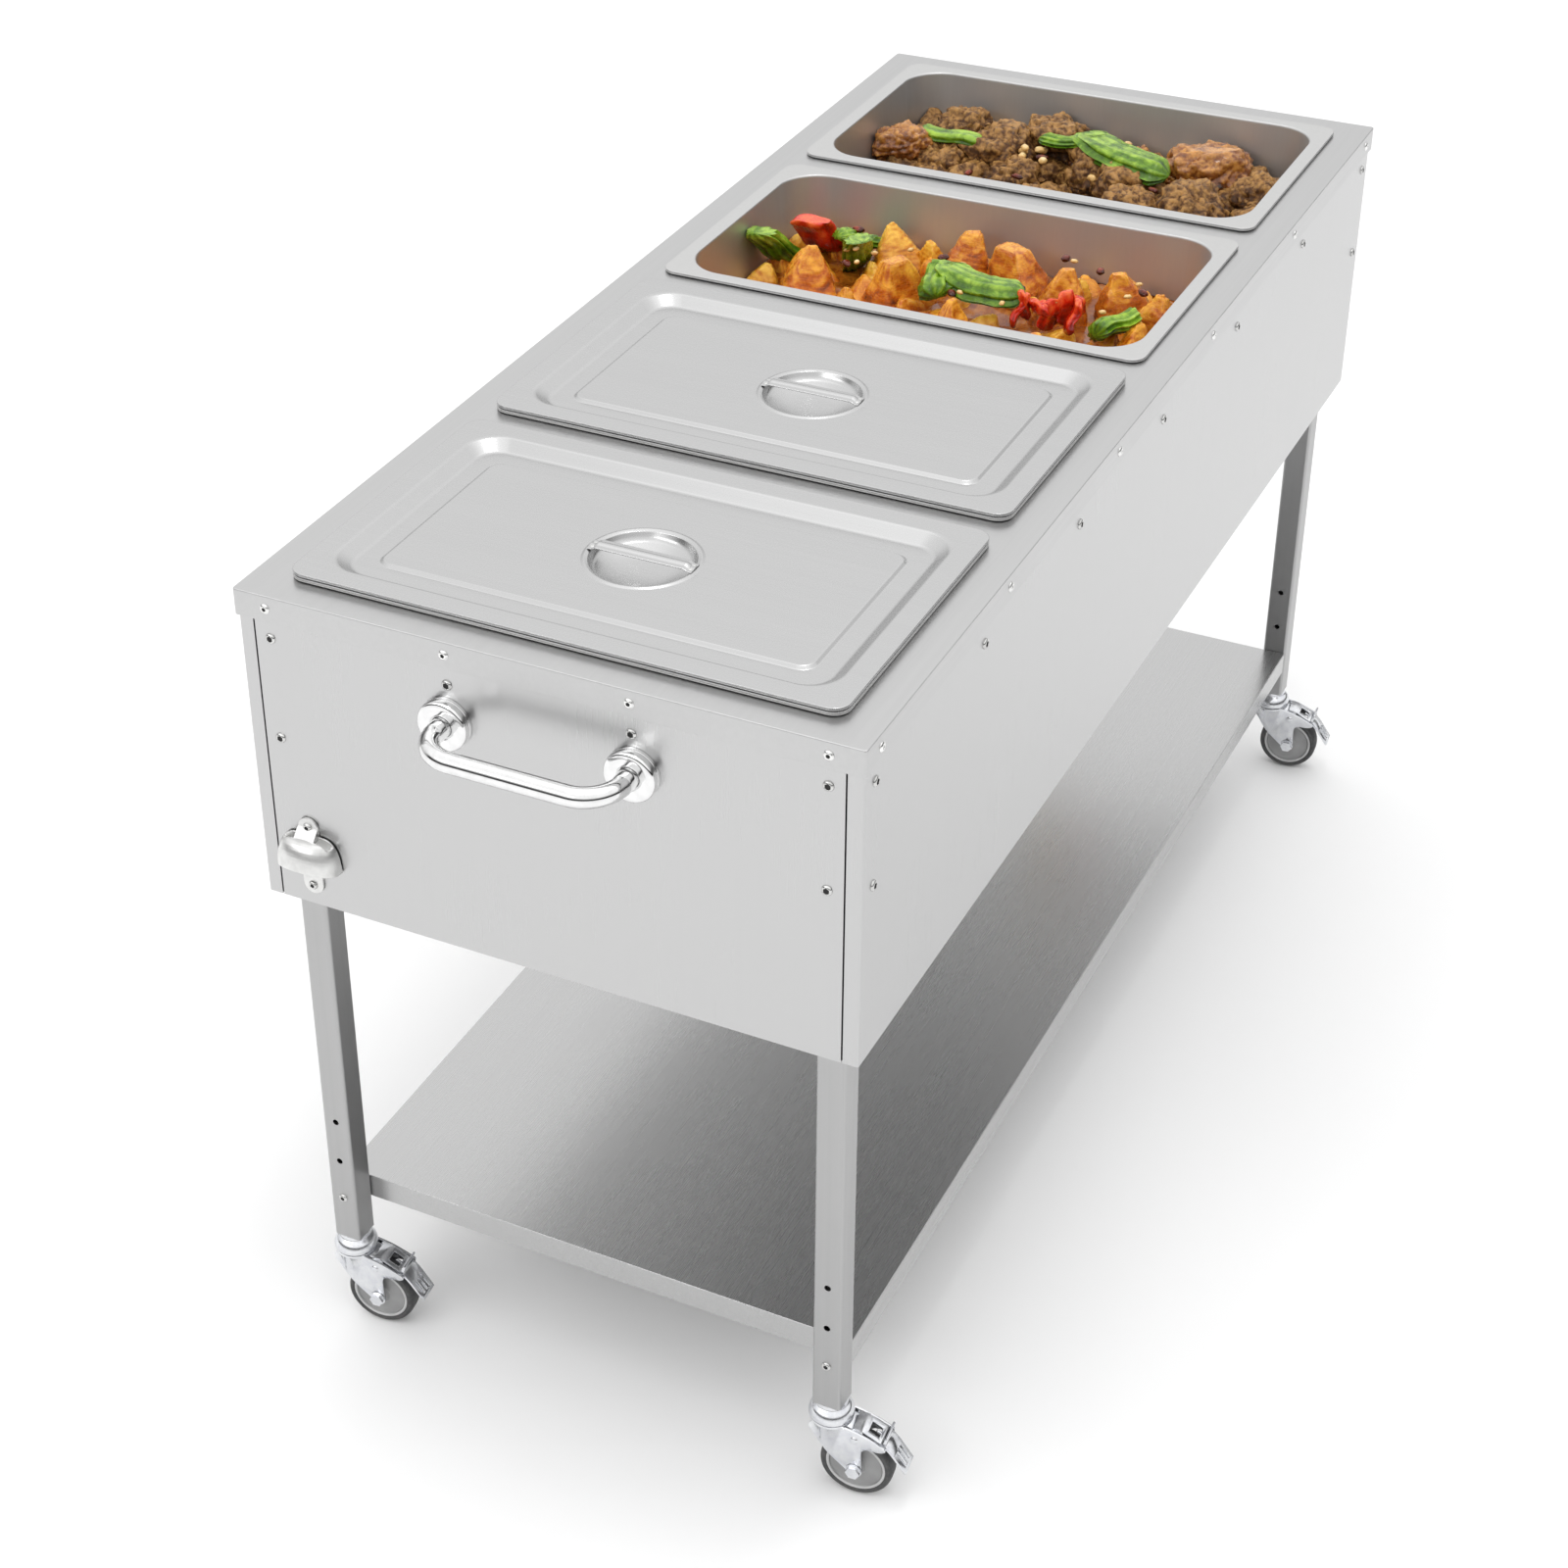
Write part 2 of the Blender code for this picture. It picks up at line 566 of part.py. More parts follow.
def make_food(name, centre, look):
    """Heap in a pan: it follows the pan's tapered walls and is mounded on top."""
    floor = RIM_TOP - PAN_DEPTH
    level = drop(FOOD_DROP)
    gap = 2 * GAP
    fillet = PAN_FILLET
    rings = [rounded_rect(PAN_FLOOR_HALF[0] - fillet - gap, PAN_FLOOR_HALF[1] - fillet - gap,
                          PAN_FLOOR_RADIUS - fillet - gap, PAN_STEPS, floor + gap)]
    for z in (floor + fillet + gap, level):
        up = (z - floor - fillet) / (PAN_DEPTH - PAN_LIP - fillet)
        half = [low + (high - low) * up - gap for low, high in zip(PAN_FLOOR_HALF, PAN_MOUTH_HALF)]
        radius = PAN_FLOOR_RADIUS + (PAN_MOUTH_RADIUS - PAN_FLOOR_RADIUS) * up - gap
        rings.append(rounded_rect(*half, radius, PAN_STEPS, z))
    for share in (0.85, 0.6, 0.3):
        rise = FOOD_CROWN * math.cos(share * math.pi / 2)
        rings.append(rounded_rect(half[0] * share, half[1] * share, radius * share, PAN_STEPS,
                                  level + rise))
    place(name, loft_mesh(name, rings), look, at=(centre, 0.0, 0.0), smooth=50)


# ---- end fittings ------------------------------------------------------------------------------
def make_handle():
    wall = -CASING_HALF[0]
    z = drop(HANDLE_DROP)
    start = (wall - GAP, HANDLE_HALF_SPAN)
    bend_x = wall - HANDLE_REACH + HANDLE_BEND
    turn = arc((bend_x, HANDLE_HALF_SPAN - HANDLE_BEND), HANDLE_BEND, 90, 180, 8)
    path = [start, *turn]
    path += [(x, -y) for x, y in reversed(path)]
    place("grab_handle", sweep_mesh("grab_handle", [(x, y, z) for x, y in path], HANDLE_TUBE, 10),
          POLISHED, smooth=40)
    edge = 0.003
    profile = [(HANDLE_TUBE + 0.0004, -GAP), (HANDLE_TUBE + 0.0004, -ROSETTE_DEPTH),
               (ROSETTE_RADIUS - edge, -ROSETTE_DEPTH),
               (ROSETTE_RADIUS - edge * 0.3, -ROSETTE_DEPTH + edge * 0.3),
               (ROSETTE_RADIUS, -ROSETTE_DEPTH + edge), (ROSETTE_RADIUS, -GAP)]
    for side, label in ((-1, "front"), (1, "rear")):
        place(f"handle_rosette_{label}", lathe_mesh("handle_rosette", profile, 24, "x"), POLISHED,
              at=(wall, side * HANDLE_HALF_SPAN, z), smooth=35)


def hood_mesh(name, inset, flat, extra):
    """Half bowl that opens downwards; flat is its back plane, extra lengthens it below the mouth."""
    reach, half, height = (size - inset for size in OPENER_HOOD)
    levels = [(-extra, 1.0)] if extra else []
    for lift in (0, 25, 45, 62, 76, 86):
        levels.append((height * math.sin(math.radians(lift)), math.cos(math.radians(lift)) ** 0.7))
    rings = []
    for rise, share in levels:
        ring = []
        for step in range(13):
            sweep = math.radians(15 * step)
            ring.append(Vector((-flat - (reach - flat) * share * math.sin(sweep) ** 0.8,
                                half * (0.3 + 0.7 * share) * math.cos(sweep),
                                OPENER_MOUTH + rise)))
        rings.append(ring)
    return loft_mesh(name, rings)


def make_bottle_opener():
    """Cast plate with a hood that opens downwards and a tooth that catches the cap."""
    half_y, half_z = OPENER_LUG
    ends = [arc((0.0, half_z - half_y), half_y, 0, 180, 8),
            arc((0.0, -half_z + half_y), half_y, 180, 360, 8)]
    plate = prism_mesh("bottle_opener", ends[0] + ends[1], -OPENER_PLATE, -GAP, "x")
    at = (-CASING_HALF[0], OPENER_Y, drop(OPENER_DROP))
    opener = place("bottle_opener", plate, CAST, at=at)
    join(opener, hood_mesh("opener_hood", 0.0, 0.0012, 0.0), at=at)
    cut(opener, hood_mesh("opener_mouth", OPENER_WALL, OPENER_PLATE + 0.0001, 0.010), at=at)
    tooth = ((-0.0005, -0.0070), (-0.0090, -0.0015), (0.0030, -0.0015))
    join(opener, prism_mesh("opener_tooth", tooth, -0.0085, 0.0085, "y"), at=at)


# ---- controls and drain -------------------------------------------------------------------------
def make_thermostat():
    wall = CASING_HALF[0]
    at = (wall, KNOB_Y, drop(CONTROL_DROP))
    inside = -CASING_SHEET - GAP
    body = box_mesh("thermostat", (inside - 0.032, -0.023, -0.020), (inside, 0.023, 0.020))
    thermostat = place("thermostat", body, BLACK_PLASTIC, at=at)
    join(thermostat, rod_mesh("thermostat_shaft", SHAFT_RADIUS, inside - 0.004, 0.0145, 20, "x"),
         at=at)
    bore = SHAFT_RADIUS + 0.0004
    profile = [(bore, 0.0020), (bore, 0.0150), (0.0, 0.0150), (0.0, KNOB_REACH),
               (KNOB_RADIUS - 0.004, KNOB_REACH), (KNOB_RADIUS - 0.0028, KNOB_REACH - 0.0012),
               (KNOB_RADIUS - 0.001, 0.0080), (KNOB_RADIUS, 0.0065), (KNOB_RADIUS, 0.0020)]
    ordered = profile[2::-1] + profile[:2:-1]
    knob = place("thermostat_knob", lathe_mesh("thermostat_knob", ordered, 20, "x"),
                 BLACK_PLASTIC, at=at, smooth=35)
    grip = box_mesh("knob_grip", (KNOB_REACH - 0.008, -0.0035, -KNOB_RADIUS + 0.0012),
                    (KNOB_REACH + GRIP_RISE, 0.0035, KNOB_RADIUS - 0.0012))
    join(knob, grip, at=at)


def make_switch():
    """Frame and housing in the panel, and a rocker that tips about a cross axis."""
    wall = CASING_HALF[0]
    at = (wall, SWITCH_Y, drop(CONTROL_DROP))
    half_y, half_z = SWITCH_HALF
    body = place("power_switch_body",
                 box_mesh("power_switch_body", (-0.024, -half_y, -half_z), (0.0016, half_y, half_z)),
                 BLACK_PLASTIC, at=at)
    bezel = box_mesh("switch_bezel", (GAP, -half_y - 0.0022, -half_z - 0.0022),
                     (0.0020, half_y + 0.0022, half_z + 0.0022))
    join(body, bezel, at=at)
    well = box_mesh("switch_well", (-0.0105, -half_y + 0.0016, -half_z + 0.0016),
                    (0.02, half_y - 0.0016, half_z - 0.0016))
    cut(body, well, at=at)
    rocker_half = (half_y - 0.0022, half_z - 0.0026)
    reach = rocker_half[1]
    outline = [(-reach * 0.55, -0.0065), (reach * 0.55, -0.0065), (reach, 0.0016),
               (0.0, 0.0036), (-reach, 0.0016)]
    spin = Matrix.Rotation(ROCKER_TILT, 2)
    tilted = [tuple(spin @ Vector(point)) for point in outline]
    rocker = prism_mesh("power_switch_rocker", tilted, -rocker_half[0], rocker_half[0], "y")
    place("power_switch_rocker", rocker, BLACK_PLASTIC, at=(wall + ROCKER_PIVOT, SWITCH_Y, at[2]))


def make_lamp_and_inlet():
    wall = CASING_HALF[0]
    z = drop(CONTROL_DROP)
    dome = [(0.0, -0.018), (LAMP_RADIUS, -0.018), (LAMP_RADIUS, GAP), (0.0072, GAP),
            (0.0072, 0.0015), (0.0056, 0.0026), (0.0050, 0.0050), (0.0034, 0.0068),
            (0.0, 0.0076)]
    place("pilot_lamp", lathe_mesh("pilot_lamp", dome, 12, "x"), RED_LENS,
          at=(wall, LAMP_Y, z), smooth=50)
    half_y, half_z = INLET_HALF
    at = (wall, INLET_Y, z)
    inlet = place("power_inlet", box_mesh("power_inlet", (-0.026, -half_y, -half_z),
                                          (0.0016, half_y, half_z)), BLACK_PLASTIC, at=at)
    flange = box_mesh("inlet_flange", (GAP, -half_y - 0.0080, -half_z - 0.0030),
                      (0.0025, half_y + 0.0080, half_z + 0.0030))
    join(inlet, flange, at=at)
    well = box_mesh("inlet_well", (-0.018, -half_y + SOCKET_WALL, -half_z + SOCKET_WALL),
                    (0.02, half_y - SOCKET_WALL, half_z - SOCKET_WALL))
    cut(inlet, well, at=at)
    for y, dz in ((-0.0070, -0.0030), (0.0070, -0.0030), (0.0, 0.0040)):
        pin = box_mesh("inlet_pin", (-0.020, y - 0.0010, dz - 0.0020),
                       (-0.004, y + 0.0010, dz + 0.0020))
        join(inlet, pin, at=at)


def make_drain():
    z = drop(DRAIN_VALVE_DROP)
    at = (DRAIN_X, 0.0, z)
    top = drop(TANK_DEPTH) - z
    bore = DRAIN_BORE
    blind = 0.010                 # solid ball region either side of the centre
    profile = [(0.0, -blind), (bore, -blind), (bore, -0.0420), (0.0110, -0.0420),
               (0.0110, -0.0200), (0.0165, -0.0150), (0.0165, 0.0150), (0.0110, 0.0190),
               (DRAIN_PIPE, 0.0190), (DRAIN_PIPE, top), (bore, top), (bore, blind), (0.0, blind)]
    valve = place("drain_valve", lathe_mesh("drain_valve", profile, 14), BRASS, at=at, smooth=35)
    neck_end = 0.0220
    join(valve, rod_mesh("valve_neck", 0.0070, blind, neck_end, 10, "x"), at=at)
    start = neck_end + GAP
    outline = [(0.010, -0.008), (0.010, 0.008), (-0.055, 0.0085), (-0.075, 0.011),
               (-0.080, 0.0), (-0.075, -0.011), (-0.055, -0.0085)]
    lever = place("drain_lever", prism_mesh("drain_lever", outline, start, start + 0.004, "x"),
                  LEVER_RED, at=at)
    join(lever, rod_mesh("lever_nut", 0.0060, start + 0.002, start + 0.0095, 6, "x"), at=at)


# ---- casters ---------------------------------------------------------------------------------
def make_caster_head(corner, x, y):
    """Domed ball race, kingpin with its riveted end, collar, and the stem that expands in the leg."""
    collar_top = LEG_BOTTOM - GAP
    profile = [(0.0, 0.0830), (0.0085, 0.0830), (0.0085, 0.0860), (0.0049, 0.0860),
               (0.0049, 0.0894), (0.0210, 0.0894), (0.0222, 0.0930), (0.0205, 0.0995),
               (0.0145, 0.1040), (0.0145, collar_top), (0.0, collar_top)]
    head = place(f"{corner}_caster_head", lathe_mesh("caster_head", profile, 14), ZINC,
                 at=(x, y, 0.0), smooth=45)
    half = LEG_SIZE / 2 - LEG_WALL - 0.0011
    stem = box_mesh("stem", (-0.0045, -0.0045, 0.1070), (0.0045, 0.0045, 0.1130))
    plug = box_mesh("stem_plug", (-half, -half, 0.1120), (half, half, 0.1420))
    join(head, stem, at=(x, y, 0.0))
    join(head, plug, at=(x, y, 0.0))


def fork_outline():
    """Side plate: nose under the dome, leg down to the axle, horn back over the wheel."""
    axle = (-CASTER_TRAIL, WHEEL_RADIUS)
    boss = arc(axle, 0.0082, 368, 232, 4)
    notch = arc((-0.0385, 0.0610), 0.0062, 0, 90, 2)
    return [(0.0120, CROWN_TOP), (0.0150, 0.0835), (0.0185, 0.0800), (0.0110, 0.0700),
            (0.0045, 0.0575), (-0.0040, 0.0480), (-0.0170, 0.0372), *boss,
            (-0.0352, 0.0420), *notch, (-0.0530, 0.0675), (-0.0580, 0.0706), (-0.0572, 0.0735), (-0.0356, 0.0836),
         (-0.0210, 0.0868), (-0.0120, CROWN_TOP)]


def make_fork(corner, swivel):
    inner = FORK_OUTER - FORK_PLATE
    ring = [(0.0054, CROWN_BOTTOM), (0.0210, CROWN_BOTTOM), (0.0210, CROWN_TOP),
            (0.0054, CROWN_TOP)]
    fork = place(f"{corner}_caster_fork", lathe_mesh("caster_crown", ring, 14), ZINC,
                 parent=swivel)
    nose = loft_mesh("fork_nose", [nose_ring(0.0190, 0.0168, 0.0790),
                                   nose_ring(0.0209, 0.0187, 0.0875)])
    join(fork, nose)
    for side in (-1, 1):
        low, high = sorted((side * inner, side * FORK_OUTER))
        join(fork, prism_mesh("fork_plate", fork_outline(), low, high, "x"))
    pivot = (0.0, *PEDAL_PIVOT)
    head = 0.0016
    pin = [(0.0, -FORK_OUTER - head), (0.0030, -FORK_OUTER - head), (0.0042, -FORK_OUTER),
           (0.0020, -FORK_OUTER), (0.0020, FORK_OUTER), (0.0042, FORK_OUTER),
           (0.0030, FORK_OUTER + head), (0.0, FORK_OUTER + head)]
    join(fork, lathe_mesh("pedal_pin", pin, 6, "x"), at=pivot)
    cut(fork, rod_mesh("axle_hole", 0.0044, -0.03, 0.03, 8, "x"),
        at=(0.0, -CASTER_TRAIL, WHEEL_RADIUS))
    return fork


def nose_ring(outer, inner, z):
    """Half-round band that closes the front of the fork between its plates."""
    front = arc((0.0, 0.0), outer, 20, 160, 5)
    back = arc((0.0, 0.0), inner, 160, 20, 5)
    return [Vector((x, y, z)) for x, y in front + back]


def make_wheel(corner, spin):
    """Hub with recessed faces, and the tyre bonded round it, both about the axle."""
    hub = [(0.0043, -0.0128), (0.0090, -0.0128), (0.0095, -0.0085), (0.0255, -0.0085),
           (0.0270, -0.0098), (0.0290, -0.0098), (0.0290, 0.0098), (0.0270, 0.0098),
           (0.0255, 0.0085), (0.0095, 0.0085), (0.0090, 0.0128), (0.0043, 0.0128)]
    place(f"{corner}_wheel_hub", lathe_mesh("wheel_hub", hub, 14, "x"), HUB_PLASTIC,
          parent=spin, smooth=35)
    width = TYRE_HALF_WIDTH
    tyre = [(0.0296, -0.0100), (0.0325, -width), (WHEEL_RADIUS, -0.0050),
            (WHEEL_RADIUS, 0.0050), (0.0325, width), (0.0296, 0.0100)]
    place(f"{corner}_tyre", lathe_mesh("tyre", tyre, 24, "x"), TYRE_RUBBER, parent=spin,
          smooth=50)


def make_axle(corner, swivel):
    face = FORK_OUTER + GAP
    shank = rod_mesh("axle_bolt", 0.0040, -face - 0.0035, face + 0.0060, 10, "x")
    at = (0.0, -CASTER_TRAIL, WHEEL_RADIUS)
    axle = place(f"{corner}_axle_bolt", shank, ZINC, at=at, parent=swivel, smooth=35)
    for low, high in ((-face - 0.0045, -face), (face, face + 0.0045)):
        join(axle, rod_mesh("axle_nut", 0.0068, low, high, 6, "x"), at=at)


def pedal_outline():
    """Side view of the pressed pedal, about its pin: lid, upstand and foot blade."""
    points = ((-0.0250, 0.0880), (-0.0340, 0.0863), (-0.0540, 0.0750), (-0.0575, 0.0840),
              (-0.0594, 0.0833), (-0.0566, 0.0742), (-0.0630, 0.0675), (-0.0780, 0.0455),
              (-0.0762, 0.0443), (-0.0612, 0.0656), (-0.0545, 0.0727), (-0.0336, 0.0841),
              (-0.0250, 0.0858))
    return [(y - PEDAL_PIVOT[0], z - PEDAL_PIVOT[1]) for y, z in points]


def make_pedal(corner, swivel):
    at = (0.0, *PEDAL_PIVOT)
    width = PEDAL_HALF_WIDTH
    pedal = place(f"{corner}_brake_pedal",
                  prism_mesh("brake_pedal", pedal_outline(), -width, width, "x"), ZINC,
                  at=at, parent=swivel)
    ear = [(0.0048, -0.0022), (0.0048, 0.0104), (-0.0075, 0.0097), (-0.0075, -0.0005),
           (-0.0030, -0.0038), (0.0020, -0.0038)]
    for side in (-1, 1):
        low, high = sorted((side * 0.0114, side * 0.0134))
        join(pedal, prism_mesh("pedal_ear", ear, low, high, "x"), at=at)
    cut(pedal, rod_mesh("pedal_bore", 0.0024, -0.02, 0.02, 6, "x"), at=at)
    slope = math.atan2(0.0113, 0.0200)
    window = box_mesh("pedal_window", (-0.0065, -0.0060, -0.010), (0.0065, 0.0060, 0.010))
    window.transform(Matrix.Translation((0.0, -0.0170, 0.0048)) @ Matrix.Rotation(slope, 4, "X"))
    cut(pedal, window, at=at)


def empty(name, parent, at, turn=0.0):
    made = bpy.data.objects.new(name, None)
    bpy.context.scene.collection.objects.link(made)
    made.parent = parent
    made.location = at
    made.rotation_euler = (0.0, 0.0, turn)
    return made


def make_caster(corner, x, y):
    make_caster_head(corner, x, y)
    swivel = empty(f"{corner}_swivel_axis", ROOT, (x, y, 0.0), CASTER_YAW)
    spin = empty(f"{corner}_wheel_axis", swivel, (0.0, -CASTER_TRAIL, WHEEL_RADIUS))
    make_fork(corner, swivel)
    make_wheel(corner, spin)
    make_axle(corner, swivel)
    make_pedal(corner, swivel)


# ---- assembly --------------------------------------------------------------------------------
make_deck()
make_tank()
make_heating_element()
make_insulation()
make_side_panels()
make_end_panels()
make_bottom_panel()
make_shelf()
for corner, x, y in leg_places():
    make_leg(corner, x, y)
    make_caster(corner, x, y)
for number, centre in enumerate(pan_centres(), start=1):
    make_pan(number, centre)
for number, centre in enumerate(pan_centres()[:2], start=1):
    make_lid(number, centre)
make_food("orange_wedges", pan_centres()[2], ORANGE_FOOD)
make_food("braised_beef", pan_centres()[3], BEEF_FOOD)
make_handle()
make_bottle_opener()
make_thermostat()
make_switch()
make_lamp_and_inlet()
make_drain()

# Bounding box: handle to knob along X, parked brake pedals to the rear skirt along Y.
handle_end = -(CASING_HALF[0] + HANDLE_REACH + HANDLE_TUBE)
knob_end = CASING_HALF[0] + KNOB_REACH + GRIP_RISE
pedal_tip = 0.0780 * math.cos(CASTER_YAW) + PEDAL_HALF_WIDTH * math.sin(CASTER_YAW)
front_end = -(LEG_OUTER[1] - LEG_SIZE / 2) - pedal_tip
ROOT.location = (-(handle_end + knob_end) / 2, -(front_end + DECK_HALF[1]) / 2, 0.0)
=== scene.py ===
"""Looks of the mobile four-pan steam table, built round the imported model.

Pieces are laid out from the middle of the deck, with z measured up from the floor, and each rides
on the CAD body that it belongs to. Metres throughout.
"""
import json
import math
import random

import bmesh
import bpy
from mathutils import Euler, Matrix, Vector, noise


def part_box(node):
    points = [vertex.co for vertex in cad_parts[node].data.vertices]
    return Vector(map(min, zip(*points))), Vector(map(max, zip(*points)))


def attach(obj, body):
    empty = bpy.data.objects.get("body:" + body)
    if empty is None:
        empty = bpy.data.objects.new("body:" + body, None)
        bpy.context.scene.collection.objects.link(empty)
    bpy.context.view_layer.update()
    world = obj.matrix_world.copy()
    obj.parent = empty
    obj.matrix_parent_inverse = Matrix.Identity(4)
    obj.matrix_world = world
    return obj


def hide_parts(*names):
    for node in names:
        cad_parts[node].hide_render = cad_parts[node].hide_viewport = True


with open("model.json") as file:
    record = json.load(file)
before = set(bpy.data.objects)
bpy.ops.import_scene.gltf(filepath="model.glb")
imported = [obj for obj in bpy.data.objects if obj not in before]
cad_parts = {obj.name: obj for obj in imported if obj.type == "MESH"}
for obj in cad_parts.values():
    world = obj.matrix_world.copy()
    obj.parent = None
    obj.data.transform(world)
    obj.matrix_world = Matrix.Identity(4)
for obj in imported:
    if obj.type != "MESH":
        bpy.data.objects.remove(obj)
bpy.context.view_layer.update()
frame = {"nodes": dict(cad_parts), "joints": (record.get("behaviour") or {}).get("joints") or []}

# ---- places read from the frame ----------------------------------------------------------------
deck_low, deck_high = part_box("top_deck")
DECK_TOP = deck_high.z
DECK_HALF = ((deck_high.x - deck_low.x) / 2, (deck_high.y - deck_low.y) / 2)
CENTRE = Vector(((deck_high.x + deck_low.x) / 2, (deck_high.y + deck_low.y) / 2, 0.0))
panel_low, panel_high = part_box("side_panel_front")
CASING_HALF = ((panel_high.x - panel_low.x) / 2, CENTRE.y - panel_low.y)
CORNERS = ("front_left", "front_right", "rear_left", "rear_right")
JOINTS = {joint["name"]: joint for joint in frame["joints"]}
PANS = ("pan_1", "pan_2", "pan_3", "pan_4")
RIM_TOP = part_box("pan_1")[1].z
LID_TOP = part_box("lid_1")[1].z


def local(point):
    """A point of the frame as an offset from the middle of the deck."""
    return Vector(point) - CENTRE


def middle(node):
    low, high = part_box(node)
    return local((low + high) / 2)


def half_size(node):
    low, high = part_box(node)
    return (high - low) / 2


def on_wall(side, point):
    """A point moved along X to the casing's left (-1) or right (1) end."""
    return Vector((side * CASING_HALF[0], point.y, point.z))


# ---- mesh helpers ------------------------------------------------------------------------------
AXES = {"x": Matrix(((0, 0, 1, 0), (1, 0, 0, 0), (0, 1, 0, 0), (0, 0, 0, 1))),
        "y": Matrix(((0, 1, 0, 0), (0, 0, 1, 0), (1, 0, 0, 0), (0, 0, 0, 1))),
        "z": Matrix.Identity(4)}


def to_mesh(bm):
    bmesh.ops.remove_doubles(bm, verts=bm.verts, dist=2e-6)
    bmesh.ops.recalc_face_normals(bm, faces=bm.faces)
    mesh = bpy.data.meshes.new("shape")
    bm.to_mesh(mesh)
    bm.free()
    return mesh


def rounded_rect(half_x, half_y, z, radius, steps):
    """Corner-rounded rectangle, anticlockwise seen from above; a circle if all three are equal."""
    points = []
    for corner, (sx, sy) in enumerate(((1, 1), (-1, 1), (-1, -1), (1, -1))):
        for step in range(steps + 1):
            angle = math.radians(90 * (corner + step / steps))
            points.append(Vector((sx * (half_x - radius) + radius * math.cos(angle),
                                  sy * (half_y - radius) + radius * math.sin(angle), z)))
    return points


def stride(step, reach):
    """A step shortened to a reach, and to under half its length."""
    size = math.sqrt(sum(c * c for c in step))
    return step * (min(reach, size * 0.49) / size)


def soften(corners, steps=4):
    """Path with rounded corners. Each corner is (point, reach); reach 0 keeps it sharp."""
    path = []
    for i, (point, reach) in enumerate(corners):
        here = Vector(point)
        if reach == 0:
            path.append(here)
            continue
        start = here + stride(Vector(corners[i - 1][0]) - here, reach)
        end = here + stride(Vector(corners[(i + 1) % len(corners)][0]) - here, reach)
        for k in range(steps + 1):
            t = k / steps
            path.append((1 - t) ** 2 * start + 2 * t * (1 - t) * here + t * t * end)
    return path


def soft_outline(corners, steps=4):
    """Flat outline with rounded corners, each given as (a, b, reach)."""
    return [(p.x, p.y) for p in soften([((a, b, 0.0), reach) for a, b, reach in corners], steps)]


def arc(centre, radius, start, end, steps):
    """Points on a circular arc in a plane, angles in degrees."""
    turn = [math.radians(start + (end - start) * k / steps) for k in range(steps + 1)]
    return [(centre[0] + radius * math.cos(a), centre[1] + radius * math.sin(a)) for a in turn]


def hexagon(radius):
    return arc((0.0, 0.0), radius, 0, 300, 5)


def loft_mesh(rings, caps=(True, True), wrap=False):
    """Skin through equal-sized rings; caps close its ends, wrap joins the last ring to the first."""
    bm = bmesh.new()
    rows = [[bm.verts.new(point) for point in ring] for ring in rings]
    count = len(rows[0])
    for lower, upper in zip(rows, rows[1:] + (rows[:1] if wrap else [])):
        for i in range(count):
            j = (i + 1) % count
            bm.faces.new((lower[i], lower[j], upper[j], upper[i]))
    if caps[0]:
        bm.faces.new(rows[0][::-1])
    if caps[1]:
        bm.faces.new(rows[-1])
    return to_mesh(bm)


def prism_mesh(outline, low, high, axis="z"):
    """Flat outline extruded along an axis. The outline's pair is (y, z) for x, (z, x) for y."""
    return loft_mesh([[AXES[axis] @ Vector((a, b, level)) for a, b in outline]
                      for level in (low, high)])


def box_mesh(low, high):
    outline = ((low[0], low[1]), (high[0], low[1]), (high[0], high[1]), (low[0], high[1]))
    return prism_mesh(outline, low[2], high[2])


def wall_box(depth, half_y, half_z):
    """Box that is centred in Y and Z and runs between two depths along X."""
    return box_mesh((depth[0], -half_y, -half_z), (depth[1], half_y, half_z))


def lathe_mesh(profile, segments=40, axis="z"):
    """Profile of (radius, height) turned about an axis. Radius 0 closes an end on the axis;
    otherwise the profile's last point joins its first, as on a ring."""
    bm = bmesh.new()
    rows = []
    turn = [2 * math.pi * i / segments for i in range(segments)]
    for radius, height in profile:
        if radius < 1e-7:
            rows.append([bm.verts.new((0.0, 0.0, height))])
        else:
            rows.append([bm.verts.new((radius * math.cos(a), radius * math.sin(a), height))
                         for a in turn])
    pairs = list(zip(rows, rows[1:]))
    if len(rows[0]) > 1:
        pairs.append((rows[-1], rows[0]))
    for lower, upper in pairs:
        for i in range(segments):
            j = (i + 1) % segments
            corners = (lower[i % len(lower)], lower[j % len(lower)],
                       upper[j % len(upper)], upper[i % len(upper)])
            bm.faces.new(list(dict.fromkeys(corners)))
    bmesh.ops.transform(bm, matrix=AXES[axis], verts=bm.verts)
    return to_mesh(bm)


def turned(corners, segments=40, axis="z", steps=3):
    """Lathe mesh from a profile whose corners are rounded: each corner is (radius, height, reach)."""
    return lathe_mesh(soft_outline(corners, steps), segments, axis)


def rod_mesh(radius, low, high, segments, axis="z", at=(0.0, 0.0, 0.0)):
    """Plain cylinder between two heights on an axis, then moved."""
    mesh = lathe_mesh([(0.0, low), (radius, low), (radius, high), (0.0, high)], segments, axis)
    mesh.transform(Matrix.Translation(at))
    return mesh


def sweep_mesh(path, radii, sides=28):
    """Round tube along a path in one level plane, with a radius for each point."""
    flat = Vector((0.0, 0.0, 1.0))
    turn = [2 * math.pi * k / sides for k in range(sides)]
    rings = []
    for i, point in enumerate(path):
        before = path[max(i - 1, 0)]
        after = path[min(i + 1, len(path) - 1)]
        across = (after - before).normalized().cross(flat)
        rings.append([point + radii[i] * (math.cos(a) * across + math.sin(a) * flat)
                      for a in turn])
    return loft_mesh(rings)


